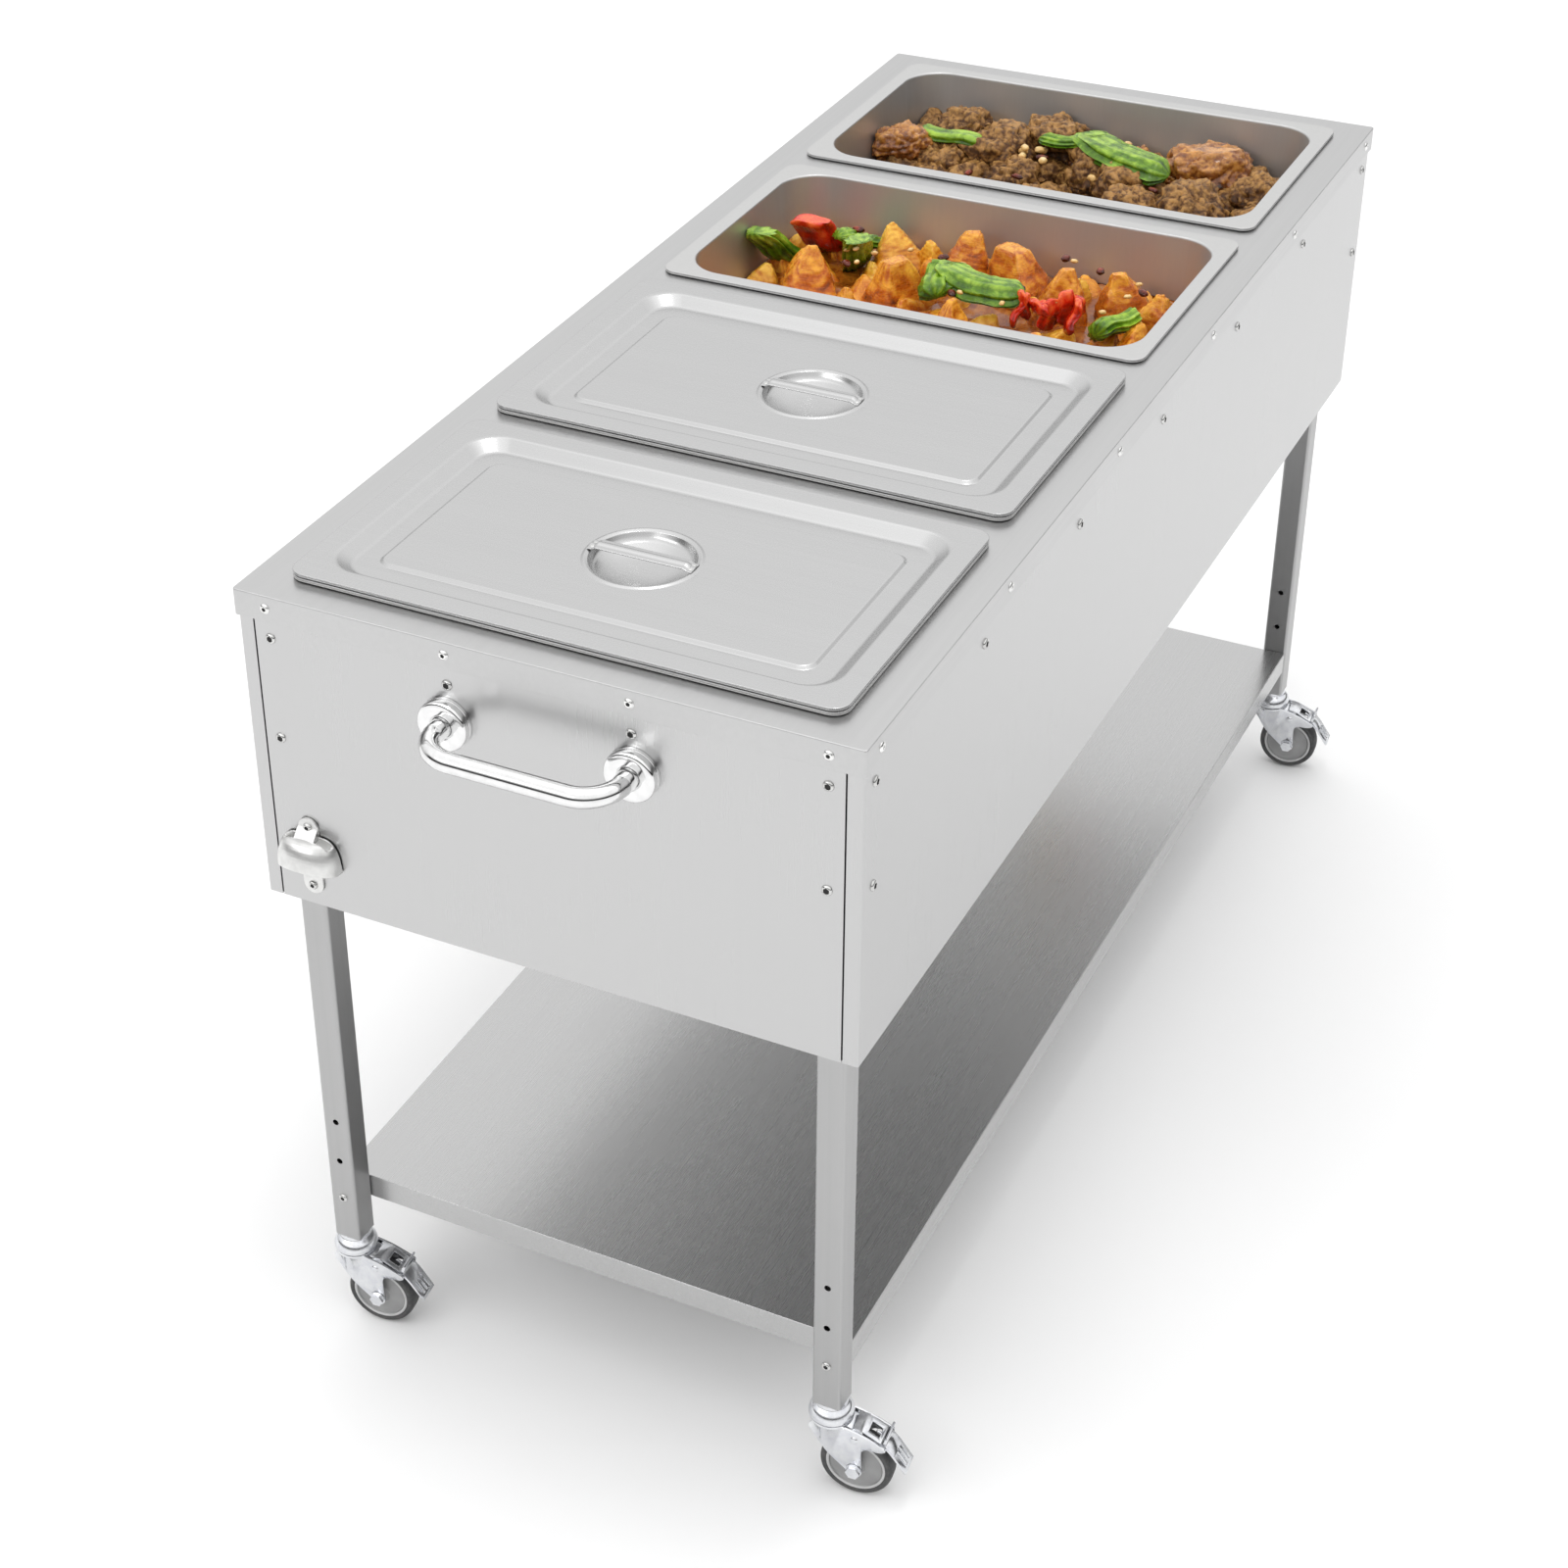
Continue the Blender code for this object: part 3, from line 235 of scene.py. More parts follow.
def merged(meshes):
    """One mesh that holds several, each given as (mesh, matrix)."""
    bm = bmesh.new()
    for mesh, matrix in meshes:
        start = len(bm.verts)
        bm.from_mesh(mesh)
        bm.verts.ensure_lookup_table()
        bmesh.ops.transform(bm, matrix=matrix, verts=bm.verts[start:])
    made = bpy.data.meshes.new("group")
    bm.to_mesh(made)
    bm.free()
    return made


# ---- work on pieces ------------------------------------------------------------------------------
def settle(target):
    """Applies target's modifiers to its mesh."""
    bpy.context.view_layer.update()
    graph = bpy.context.evaluated_depsgraph_get()
    mesh = bpy.data.meshes.new_from_object(target.evaluated_get(graph))
    target.modifiers.clear()
    mesh.shade_smooth()
    mesh.set_sharp_from_angle(angle=math.radians(40))
    target.data = mesh


def boolean(target, tool_mesh, operation="DIFFERENCE"):
    """Cuts or joins a tool shape, given in target's own coordinates, for good."""
    tool = bpy.data.objects.new("tool", tool_mesh)
    bpy.context.scene.collection.objects.link(tool)
    tool.matrix_world = target.matrix_world
    step = target.modifiers.new("Tool", "BOOLEAN")
    step.operation = operation
    step.solver = "EXACT"
    step.object = tool
    settle(target)
    bpy.data.objects.remove(tool)


def join(target, tool_mesh):
    boolean(target, tool_mesh, "UNION")


def edge_round(target, width, segments=3, angle=35):
    """Rounds target's sharp edges and keeps its flat faces flat in shading."""
    step = target.modifiers.new("Edges", "BEVEL")
    step.width = width
    step.segments = segments
    step.limit_method = "ANGLE"
    step.angle_limit = math.radians(angle)
    step.harden_normals = True
    return target


def thicken(target, thickness):
    """Gives an open sheet its thickness on its back."""
    step = target.modifiers.new("Sheet", "SOLIDIFY")
    step.thickness = thickness
    step.offset = -1.0
    return target


def flat_faces(target):
    step = target.modifiers.new("Flats", "WEIGHTED_NORMAL")
    step.keep_sharp = True
    step.weight = 90
    return target


def piece(name, mesh, look, at=(0.0, 0.0, 0.0), turn=None, smooth=35, layout=True):
    """Links a mesh, with its place measured from the middle of the deck."""
    made = bpy.data.objects.new(name, mesh)
    bpy.context.scene.collection.objects.link(made)
    offset = CENTRE if layout else Vector()
    made.matrix_world = Matrix.Translation(offset + Vector(at)) @ (turn or Matrix.Identity(4))
    if not mesh.materials:
        mesh.materials.append(look)
    mesh.shade_smooth()
    mesh.set_sharp_from_angle(angle=math.radians(smooth))
    return made


def blank(mesh, look):
    """A piece to cut and join while a mesh is built, before baked takes the mesh off it."""
    return piece("blank", mesh, look, layout=False)


def baked(made, width=0.0):
    """The mesh of a blank, with its edges rounded first if a width is given."""
    if width:
        settle(edge_round(made, width, 2, 40))
    mesh = made.data
    bpy.data.objects.remove(made)
    return mesh


def hand_over(made, body, slot, *nodes):
    """Puts a finished piece on its body, in place of CAD nodes. Its slot is not used."""
    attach(made, body)
    if nodes:
        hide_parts(*nodes)
    return made


# ---- materials -----------------------------------------------------------------------------------
class Nodes:
    """Short ways to add shader nodes to a tree. A value is another node's output or a plain one."""

    def __init__(self, tree):
        self.tree = tree

    def feed(self, value, socket):
        if isinstance(value, bpy.types.NodeSocket):
            self.tree.links.new(value, socket)
        else:
            socket.default_value = (*value, 1.0) if isinstance(value, tuple) else value

    def node(self, kind, **inputs):
        made = self.tree.nodes.new(kind)
        for name, value in inputs.items():
            self.feed(value, made.inputs[name.replace("_", " ")])
        return made

    def remap(self, value, low, high, start=0.3, end=0.7):
        return self.node("ShaderNodeMapRange", Value=value, From_Min=start, From_Max=end,
                         To_Min=low, To_Max=high).outputs["Result"]

    def ramp(self, value, stops):
        """Colour ramp. Each stop is a position with a colour, or with one tone of grey."""
        made = self.node("ShaderNodeValToRGB", Fac=value)
        points = made.color_ramp.elements
        while len(points) < len(stops):
            points.new(0.5)
        for point, (position, colour) in zip(points, stops):
            point.position = position
            point.color = (*(colour if isinstance(colour, tuple) else (colour,) * 3), 1.0)
        return made.outputs["Color"]

    def blend(self, factor, first, second):
        made = self.node("ShaderNodeMix")
        made.data_type = "RGBA"
        self.feed(factor, made.inputs["Factor"])
        self.feed(first, made.inputs[6])
        self.feed(second, made.inputs[7])
        return made.outputs[2]

    def combine(self, operation, first, second):
        made = self.node("ShaderNodeMath")
        made.operation = operation
        self.feed(first, made.inputs[0])
        self.feed(second, made.inputs[1])
        return made.outputs[0]


class Look(Nodes):
    """A Principled material and the textures that feed it, all in the piece's own coordinates."""

    def __init__(self, name, colour, roughness, metallic=0.0, **sockets):
        self.material = bpy.data.materials.new(name)
        self.material.use_nodes = True
        super().__init__(self.material.node_tree)
        self.shader = self.tree.nodes["Principled BSDF"]
        self.colour(colour)
        self.roughness(roughness)
        for socket, value in {"Metallic": metallic, **sockets}.items():
            self.feed(value, self.shader.inputs[socket.replace("_", " ")])
        self.height = None

    def colour(self, value):
        self.feed(value, self.shader.inputs["Base Color"])

    def roughness(self, value):
        self.feed(value, self.shader.inputs["Roughness"])

    def attribute(self, name, output):
        source = self.node("ShaderNodeAttribute")
        source.attribute_name = name
        return source.outputs[output]

    def coordinates(self, scale, attribute=None, turn=(0.0, 0.0, 0.0)):
        """Mapped coordinates: object space, or a per-point attribute such as a chunk's own space."""
        mapping = self.node("ShaderNodeMapping")
        mapping.inputs["Scale"].default_value = scale if isinstance(scale, tuple) else (scale,) * 3
        mapping.inputs["Rotation"].default_value = turn
        place = (self.attribute(attribute, "Vector") if attribute
                 else self.node("ShaderNodeTexCoord").outputs["Object"])
        self.feed(place, mapping.inputs["Vector"])
        return mapping.outputs["Vector"]

    def noise(self, scale, detail=3.0, roughness=0.5, distortion=0.0, **where):
        """Noise whose grain is 1/scale metres, along all axes or along each."""
        return self.node("ShaderNodeTexNoise", Scale=1.0, Detail=detail, Roughness=roughness,
                         Distortion=distortion,
                         Vector=self.coordinates(scale, **where)).outputs["Fac"]

    def cells(self, scale):
        return self.node("ShaderNodeTexVoronoi", Scale=1.0,
                         Vector=self.coordinates(scale)).outputs["Distance"]

    def bump(self, value, depth, strength=1.0):
        """Adds bumps; depth is the height in metres between 0 and 1 of value."""
        made = self.node("ShaderNodeBump", Strength=strength, Distance=depth, Height=value)
        if self.height:
            self.feed(self.height, made.inputs["Normal"])
        self.height = made.outputs["Normal"]
        self.feed(self.height, self.shader.inputs["Normal"])


def grain_scale(axis, along, across):
    return tuple(along if name == axis else across for name in "xyz")


def sheet_steel(name, tone, roughness, axis, depth, spread=0.05, warm=0.0):
    """Stainless sheet: fine polishing grain along one axis, broad rolling streaks, faint smudges."""
    colour = (tone, tone * (1 - 0.2 * warm), tone * (1 - warm))
    look = Look(name, colour, roughness, 1.0)
    grain = look.noise(grain_scale(axis, 9.0, 1400.0), 2.0)
    streaks = look.noise(grain_scale(axis, 2.0, 190.0), 4.0, 0.7)
    smudges = look.noise(7.0, 4.0, 0.6)
    mixed = look.combine("ADD", look.remap(grain, 0.0, spread),
                         look.remap(streaks, 0.0, spread * 0.5))
    worn = look.combine("ADD", mixed, look.remap(smudges, -spread * 0.3, spread * 0.5))
    look.roughness(look.combine("ADD", worn, roughness - spread))
    darker = tuple(c * (1 - 0.7 * spread) for c in colour)
    look.colour(look.blend(look.remap(streaks, 0.0, 1.0), colour, darker))
    look.bump(grain, depth, 0.35)
    return look.material


def bright_plate(name, tone, roughness, tint, dapple, lumps=0.0):
    """Zinc or chrome plate: cloudy dapples in tint and polish, and pin-head lumps on castings."""
    look = Look(name, tone, roughness, 1.0)
    clouds = look.noise(90.0, 4.0, 0.6)
    look.colour(look.blend(look.remap(clouds, 0.0, 1.0), tone, tint))
    look.roughness(look.remap(clouds, roughness - dapple, roughness + dapple))
    scratches = look.noise((60.0, 900.0, 500.0), 2.0, turn=(0.3, 0.5, 0.9))
    look.bump(scratches, 0.00003, 0.4)
    if lumps:
        look.bump(look.noise(420.0, 3.0), lumps, 0.6)
    return look.material


def moulded(name, colour, roughness, grain=900.0, depth=0.00006, **sockets):
    """Moulded plastic: fine spark-eroded texture and slightly uneven gloss."""
    look = Look(name, colour, roughness, 0.0, **sockets)
    pits = look.cells(grain)
    clouds = look.noise(40.0, 3.0)
    look.roughness(look.remap(clouds, roughness - 0.05, roughness + 0.06))
    paler = tuple(min(1.0, c * 1.25 + 0.004) for c in colour)
    look.colour(look.blend(look.remap(clouds, 0.0, 1.0), colour, paler))
    look.bump(pits, depth, 0.5)
    return look.material


def rubber():
    look = Look("tyre_rubber", (0.060, 0.061, 0.063), 0.68)
    dust = look.noise(260.0, 4.0, 0.7)
    scuffs = look.noise(45.0, 3.0, 0.6)
    look.colour(look.blend(look.remap(look.combine("ADD", dust, scuffs), 0.0, 1.0, 0.8, 1.35),
                           (0.050, 0.051, 0.053), (0.115, 0.113, 0.110)))
    look.roughness(look.remap(scuffs, 0.58, 0.82))
    look.bump(dust, 0.00012, 0.6)
    return look.material


def red_lens():
    look = Look("red_lens", (0.80, 0.03, 0.015), 0.08, 0.0, Coat_Weight=0.8, Coat_Roughness=0.03,
                Emission_Strength=0.25, Emission_Color=(0.9, 0.04, 0.01))
    facets = look.cells(700.0)
    look.colour(look.blend(look.remap(facets, 0.0, 1.0, 0.0, 0.6), (0.85, 0.06, 0.03),
                           (0.50, 0.01, 0.005)))
    look.bump(facets, 0.0002, 0.5)
    return look.material


def glass_wool():
    look = Look("glass_wool", (0.80, 0.66, 0.25), 0.95)
    strands = look.noise((180.0, 900.0, 500.0), 5.0, 0.7, 1.5)
    look.colour(look.ramp(strands, ((0.3, (0.55, 0.40, 0.12)), (0.7, (0.88, 0.78, 0.42)))))
    look.bump(strands, 0.002, 0.8)
    return look.material


def glaze(name, stops, roughness, fibre, depth, sheen=0.35, patches=60.0):
    """Cooked food under sauce: colour patches, painted shade in creases and at chunk feet, fibres and a
    wet coat, in chunk space.
    """
    look = Look(name, stops[0][1], roughness, 0.0, Coat_Weight=sheen, Coat_Roughness=0.12,
                Subsurface_Weight=0.05, Subsurface_Scale=0.003, Specular_IOR_Level=0.25)
    blotches = look.noise(patches, 5.0, 0.65, 0.4, attribute="chunk")
    shade_tint = look.attribute("shade_tint", "Fac")
    # the ramp's input is the colour patches plus painted shade: darker in creases, grooves and low on
    # each chunk, paler on crests and tops
    look.colour(look.ramp(look.combine("ADD", blotches, shade_tint), stops))
    threads = look.noise(fibre, 3.0, 0.6, 0.8, attribute="chunk")
    look.roughness(look.remap(threads, roughness - 0.1, roughness + 0.2))
    look.bump(threads, depth, 0.9)
    look.bump(look.noise(900.0, 2.0, attribute="chunk"), depth * 0.25, 0.5)
    return look.material


DECK_STEEL = sheet_steel("deck_stainless", 0.53, 0.33, "x", 0.00005)
LID_STEEL = sheet_steel("lid_stainless", 0.525, 0.28, "y", 0.00004, 0.04)
CASING_STEEL = sheet_steel("casing_stainless", 0.52, 0.28, "z", 0.000003, 0.008)
BOTTOM_STEEL = sheet_steel("bottom_stainless", 0.55, 0.36, "x", 0.00003, 0.04)
PAN_STEEL = sheet_steel("pan_stainless", 0.60, 0.50, "z", 0.00003, 0.04, warm=0.01)
TANK_STEEL = sheet_steel("tank_stainless", 0.58, 0.36, "x", 0.00004, 0.06)
SHELF_STEEL = sheet_steel("shelf_stainless", 0.50, 0.28, "x", 0.00001, 0.02)
LEG_STEEL = sheet_steel("leg_stainless", 0.44, 0.38, "z", 0.00005, 0.05)
POLISHED = bright_plate("polished_stainless", (0.82, 0.82, 0.82), 0.10, (0.72, 0.72, 0.72), 0.04)
ZINC = bright_plate("bright_zinc", (0.78, 0.79, 0.80), 0.20, (0.64, 0.65, 0.69), 0.07)
SCREW_STEEL = bright_plate("screw_steel", (0.70, 0.70, 0.69), 0.22, (0.50, 0.50, 0.49), 0.06)
RIVET_ALLOY = bright_plate("rivet_alloy", (0.86, 0.86, 0.85), 0.26, (0.74, 0.74, 0.73), 0.06)
CASTING = bright_plate("plated_casting", (0.74, 0.74, 0.73), 0.36, (0.64, 0.64, 0.63), 0.06, 0.00006)
BRASS = bright_plate("turned_brass", (0.83, 0.62, 0.28), 0.24, (0.66, 0.45, 0.18), 0.07)
SHEATH = bright_plate("element_sheath", (0.22, 0.21, 0.20), 0.42, (0.12, 0.10, 0.09), 0.10)
HUB_PLASTIC = moulded("hub_nylon", (0.27, 0.27, 0.27), 0.46)
RING_PLASTIC = moulded("hub_ring_nylon", (0.48, 0.48, 0.48), 0.42)
BLACK_PLASTIC = moulded("black_plastic", (0.022, 0.022, 0.023), 0.42)
PIN_BRASS = bright_plate("nickel_pins", (0.75, 0.73, 0.68), 0.20, (0.60, 0.58, 0.52), 0.05)
# painted shade: black that stands in for the shade down in screw sockets and rivet holes
HOLE_SHADE = moulded("painted_recess_shade", (0.012, 0.012, 0.012), 0.70)
DIAL_PRINT = moulded("dial_print", (0.80, 0.80, 0.78), 0.50)
LEVER_VINYL = moulded("lever_vinyl", (0.55, 0.03, 0.02), 0.38, 600.0, 0.00008, Coat_Weight=0.3)
GREY_RUBBER = rubber()
RED_LENS = red_lens()
GLASS_WOOL = glass_wool()

# ---- deck, casing and shelf ----------------------------------------------------------------------
SHEET = 0.0012
DECK_SHEET = 0.0015
CUTOUT = (0.152, 0.2545, 0.047)          # half length, half width and corner radius
RETURN = 0.0146                          # side panel wrapped round each corner
PANEL_BEND = 0.0022
LEG_WALL = 0.0015
LEG_HOLE = 0.0033
LEG_HOLE_DROPS = (0.607, 0.657, 0.705)   # cross holes, below the deck's top


def folded_tray(node, sheet, radii, lip, bend):
    """Sheet folded down all round, with the corner radii of its inside, its outside and its top."""
    low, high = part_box(node)
    hx, hy, _ = half_size(node)
    inside, outside, top = radii
    path = soften([((hx - sheet, hy - sheet, high.z - sheet, inside), 0),
                   ((hx - sheet, hy - sheet, low.z, inside), 0),
                   ((hx, hy, low.z, outside), lip), ((hx, hy, high.z, outside), bend),
                   ((hx - 0.004, hy - 0.004, high.z, top), 0)], 5)
    return loft_mesh([rounded_rect(*p, 4) for p in path])


def make_deck():
    deck = piece("deck_sheet", folded_tray("top_deck", DECK_SHEET, (0.0015, 0.0030, 0.0020), 0.0004,
                                           0.0016), DECK_STEEL)
    for pan in PANS:
        shift = Vector((middle(pan).x, 0, 0))
        rings = [[p + shift for p in rounded_rect(CUTOUT[0], CUTOUT[1], z, CUTOUT[2], 12)]
                 for z in (DECK_TOP - 0.01, DECK_TOP + 0.01)]
        boolean(deck, loft_mesh(rings))
    hand_over(flat_faces(deck), "root", "brushed_stainless", "top_deck")


def make_side_panels():
    hx, hy = CASING_HALF
    back = hy - RETURN
    corner_x, corner_y = hx - PANEL_BEND, PANEL_BEND - hy
    outline = []
    for x, bend, turns in ((-hx, PANEL_BEND, ((-1, 180, 270), (1, 270, 360))),
                           (hx - SHEET, PANEL_BEND - SHEET, ((1, 360, 270), (-1, 270, 180)))):
        outline.append((x, -back))
        for side, start, end in turns:
            outline += arc((side * corner_x, corner_y), bend, start, end, 6)
        outline.append((-x, -back))
    for node, flip in (("side_panel_front", 1), ("side_panel_rear", -1)):
        mesh = prism_mesh([(x * flip, y * flip) for x, y in outline], panel_low.z, panel_high.z)
        panel = piece(f"{node}_sheet", mesh, CASING_STEEL, smooth=40)
        hand_over(flat_faces(panel), "root", "casing_stainless", node)


def make_shelf():
    shelf = piece("undershelf_sheet", folded_tray("undershelf", SHEET, (0.0010, 0.0025, 0.0015), 0,
                                                  0.0018), SHELF_STEEL)
    hand_over(flat_faces(shelf), "root", "shelf_stainless", "undershelf")


def make_legs():
    for corner in CORNERS:
        node = f"{corner}_leg"
        low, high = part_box(node)
        half = half_size(node).x
        inner = half - LEG_WALL
        rings = [rounded_rect(size, size, z, radius, 5) for size, z, radius in
                 ((inner, low.z, 0.0018), (half, low.z, 0.0032), (half, high.z, 0.0032),
                  (inner, high.z, 0.0018))]
        place = middle(node)
        leg = piece(f"{node}_tube", loft_mesh(rings, (False, False), True), LEG_STEEL,
                    (place.x, place.y, 0.0))
        for drop in LEG_HOLE_DROPS:
            boolean(leg, rod_mesh(LEG_HOLE, -0.03, 0.03, 24, "x", (0.0, 0.0, DECK_TOP - drop)))
        hand_over(flat_faces(leg), "root", "leg_steel", node)


# ---- fasteners -----------------------------------------------------------------------------------
FACING = {"-x": Matrix.Rotation(-math.pi / 2, 4, "Y"), "+x": Matrix.Rotation(math.pi / 2, 4, "Y"),
          "-y": Matrix.Rotation(math.pi / 2, 4, "X"), "+y": Matrix.Rotation(-math.pi / 2, 4, "X")}
RIVET_Z = DECK_TOP - 0.0130
RIVETS_END = (-0.267, -0.088, 0.088, 0.267)
RIVETS_SIDE = tuple(-0.700 + 0.280 * i for i in range(6))
SCREW_Z = DECK_TOP - 0.0440
SCREW_LOW_Z = DECK_TOP - 0.1470
SCREWS_END = (-0.266, -0.088, 0.088, 0.266)
SCREWS_SIDE = tuple(-0.7045 + 0.2348 * i for i in range(7))


def rivet_head():
    """Domed blind rivet with the open end of its mandrel hole."""
    return turned([(0.0, 0.0002, 0), (0.0017, 0.0002, 0), (0.0019, 0.0019, 0.0002),
                   (0.0032, 0.0018, 0.0006), (0.0050, 0.0005, 0.0004), (0.0050, -0.0002, 0),
                   (0.0, -0.0002, 0)], 28)


def rivet_core():
    """Broken mandrel down in a rivet's hole, drawn black as painted shade."""
    return turned([(0.0, 0.0012, 0), (0.0012, 0.0010, 0.0002), (0.00165, 0.0003, 0),
                   (0.0, 0.0003, 0)], 16)


def sided_ring(size, z, sides=0, count=36):
    """Circle of points, or a regular polygon drawn with as many points."""
    points = []
    for a in (2 * math.pi * k / count for k in range(count)):
        half = math.pi / sides if sides else 0.0
        reach = size * math.cos(half) / math.cos(a % (2 * half) - half) if sides else size
        points.append(Vector((reach * math.cos(a), reach * math.sin(a), z)))
    return points


def socket_head(radius, height, socket):
    """Button-head screw with a hexagon socket."""
    rows = ((radius, -0.0002), (radius, height * 0.25), (radius * 0.9, height * 0.62),
            (radius * 0.72, height * 0.92), (radius * 0.6, height), (socket * 1.10, height, 6),
            (socket, height - 0.0002, 6), (socket, height * 0.2, 6))
    return loft_mesh([sided_ring(*row) for row in rows])


def scatter_group(name, mesh, spots, look):
    """Identical fasteners as one piece. Each spot is (place, facing)."""
    placed = [(mesh, Matrix.Translation(place) @ FACING[facing]) for place, facing in spots]
    hand_over(piece(name, merged(placed), look, smooth=40), "root", "bright_zinc")


def socket_screws(name, radius, height, socket, spots):
    """Button-head screws, and black painted shade in the bottoms of their sockets."""
    scatter_group(name, socket_head(radius, height, socket), spots, SCREW_STEEL)
    # painted shade: a black hex plug down in each socket
    core = rod_mesh(socket * 0.97, height * 0.2, height * 0.6, 6)
    scatter_group(f"{name}_sockets", core, spots, HOLE_SHADE)


def wall_spots(half, ends, sides):
    """Spots on all four walls: (y, z) pairs for both ends and (x, z) pairs for both long sides."""
    spots = [(Vector((side * half[0], y, z)), face) for y, z in ends
             for side, face in ((-1, "-x"), (1, "+x"))]
    return spots + [(Vector((x, side * half[1], z)), face) for x, z in sides
                    for side, face in ((-1, "-y"), (1, "+y"))]


def make_fasteners():
    rivets = wall_spots(DECK_HALF, [(y, RIVET_Z) for y in RIVETS_END],
                        [(x, RIVET_Z) for x in RIVETS_SIDE])
    scatter_group("skirt_rivets", rivet_head(), rivets, RIVET_ALLOY)
    # painted shade: the mandrels drawn black for the shade in the rivet holes
    scatter_group("rivet_mandrels", rivet_core(), rivets, HOLE_SHADE)
    ends, sides = ([(a, SCREW_Z) for a in row] + [(a, SCREW_LOW_Z) for a in (row[0], row[-1])]
                   for row in (SCREWS_END, SCREWS_SIDE))
    socket_screws("panel_screws", 0.0051, 0.0022, 0.0030, wall_spots(CASING_HALF, ends, sides))
    shelf_spots = []
    for corner in CORNERS:
        place, half = middle(f"{corner}_leg"), half_size(f"{corner}_leg").x
        side = -1 if place.x < 0 else 1
        shelf_spots.append((Vector((place.x + side * half, place.y, DECK_TOP - LEG_HOLE_DROPS[-1])),
                            "-x" if side < 0 else "+x"))
    socket_screws("shelf_screws", 0.0048, 0.0022, 0.0024, shelf_spots)


# ---- pans and lids -------------------------------------------------------------------------------
RIM = (0.1625, 0.2650, 0.016)            # half length, half width and corner radius
MOUTH = (0.1460, 0.2485, 0.045)
FLOOR = (0.1330, 0.2355, 0.040)
PAN_DEPTH = 0.150
PAN_SHEET = 0.0009
ROLL = 0.0036                            # height of a rim's rolled edge
FLANGE_INNER = (0.1398, 0.2430, 0.0328)
RECESS_EDGE = (0.1272, 0.2304, 0.0242)
STEP_FOOT = (0.1062, 0.2107, 0.0147)
STEP_TOP = (0.1030, 0.2075, 0.0120)
RECESS = 0.0100
STEP_RISE = 0.0030
STRAP_HALF = 0.0515                      # half length of the grip strap over the dish
DISH_FLOOR = 0.026
DISH_DEPTH = 0.0148


def level_ring(size, z, grow=0.0):
    """Ring entry for soften: half length, half width, height, corner radius."""
    return (size[0] + grow, size[1] + grow, z, size[2] + grow)


def rolled_edge(top):
    """A rim's edge in two curls with a groove between, that stands on its inner turn."""
    low = top - ROLL
    turns = ((low - 0.0002, -0.0032, 0), (low - 0.0001, -0.0012, 0.0008), (low + 0.0007, 0.0, 0.0006),
             (low + 0.0015, 0.0, 0.0003), (low + 0.0019, -0.0008, 0.0002),
             (low + 0.0023, 0.0, 0.0003), (top, 0.0, 0.0012))
    return [(level_ring(RIM, z, grow), reach) for z, grow, reach in turns]


def disc(radius, z):
    return (radius, radius, z, radius)


def pressing(name, corners, steps, look, body, slot, node):
    """Thin dished sheet, drawn ring by ring from its edge to the middle of its floor."""
    rings = [rounded_rect(*p, steps) for p in soften(corners, 5)]
    made = piece(name, loft_mesh(rings, (False, True)), look, (middle(node).x, 0.0, 0.0), smooth=60)
    hand_over(flat_faces(thicken(made, PAN_SHEET)), body, slot, node)


def make_pans():
    floor = RIM_TOP - PAN_DEPTH
    corners = rolled_edge(RIM_TOP) + [(level_ring(MOUTH, RIM_TOP), 0.0030),
                                      (level_ring(FLOOR, floor), 0.0130),
                                      (level_ring(FLOOR, floor, -0.030), 0)]
    for node in PANS:
        pressing(f"{node}_shell", corners, 12, PAN_STEEL, node, "pan_stainless", node)


def make_lids():
    floor = LID_TOP - RECESS
    panel = floor + STEP_RISE
    corners = rolled_edge(LID_TOP) + [
        (level_ring(FLANGE_INNER, LID_TOP), 0.0030), (level_ring(RECESS_EDGE, floor), 0.0035),
        (level_ring(STEP_FOOT, floor), 0.0014), (level_ring(STEP_TOP, panel), 0.0014),
        (disc(0.0580, panel), 0), (disc(0.0550, panel), 0.0008),
        (disc(0.0520, panel + 0.0015), 0.0016), (disc(0.0485, panel + 0.0002), 0.0010),
        (disc(0.0450, panel - 0.0070), 0.0050),
        (disc(DISH_FLOOR, panel - DISH_DEPTH + 0.0010), 0.0140),
        (disc(0.0060, panel - DISH_DEPTH), 0)]
    for node in ("lid_1", "lid_2"):
        pressing(f"{node}_pressing", corners, 14, LID_STEEL, node, "brushed_stainless", node)
        make_strap(node, middle(node).x, panel)


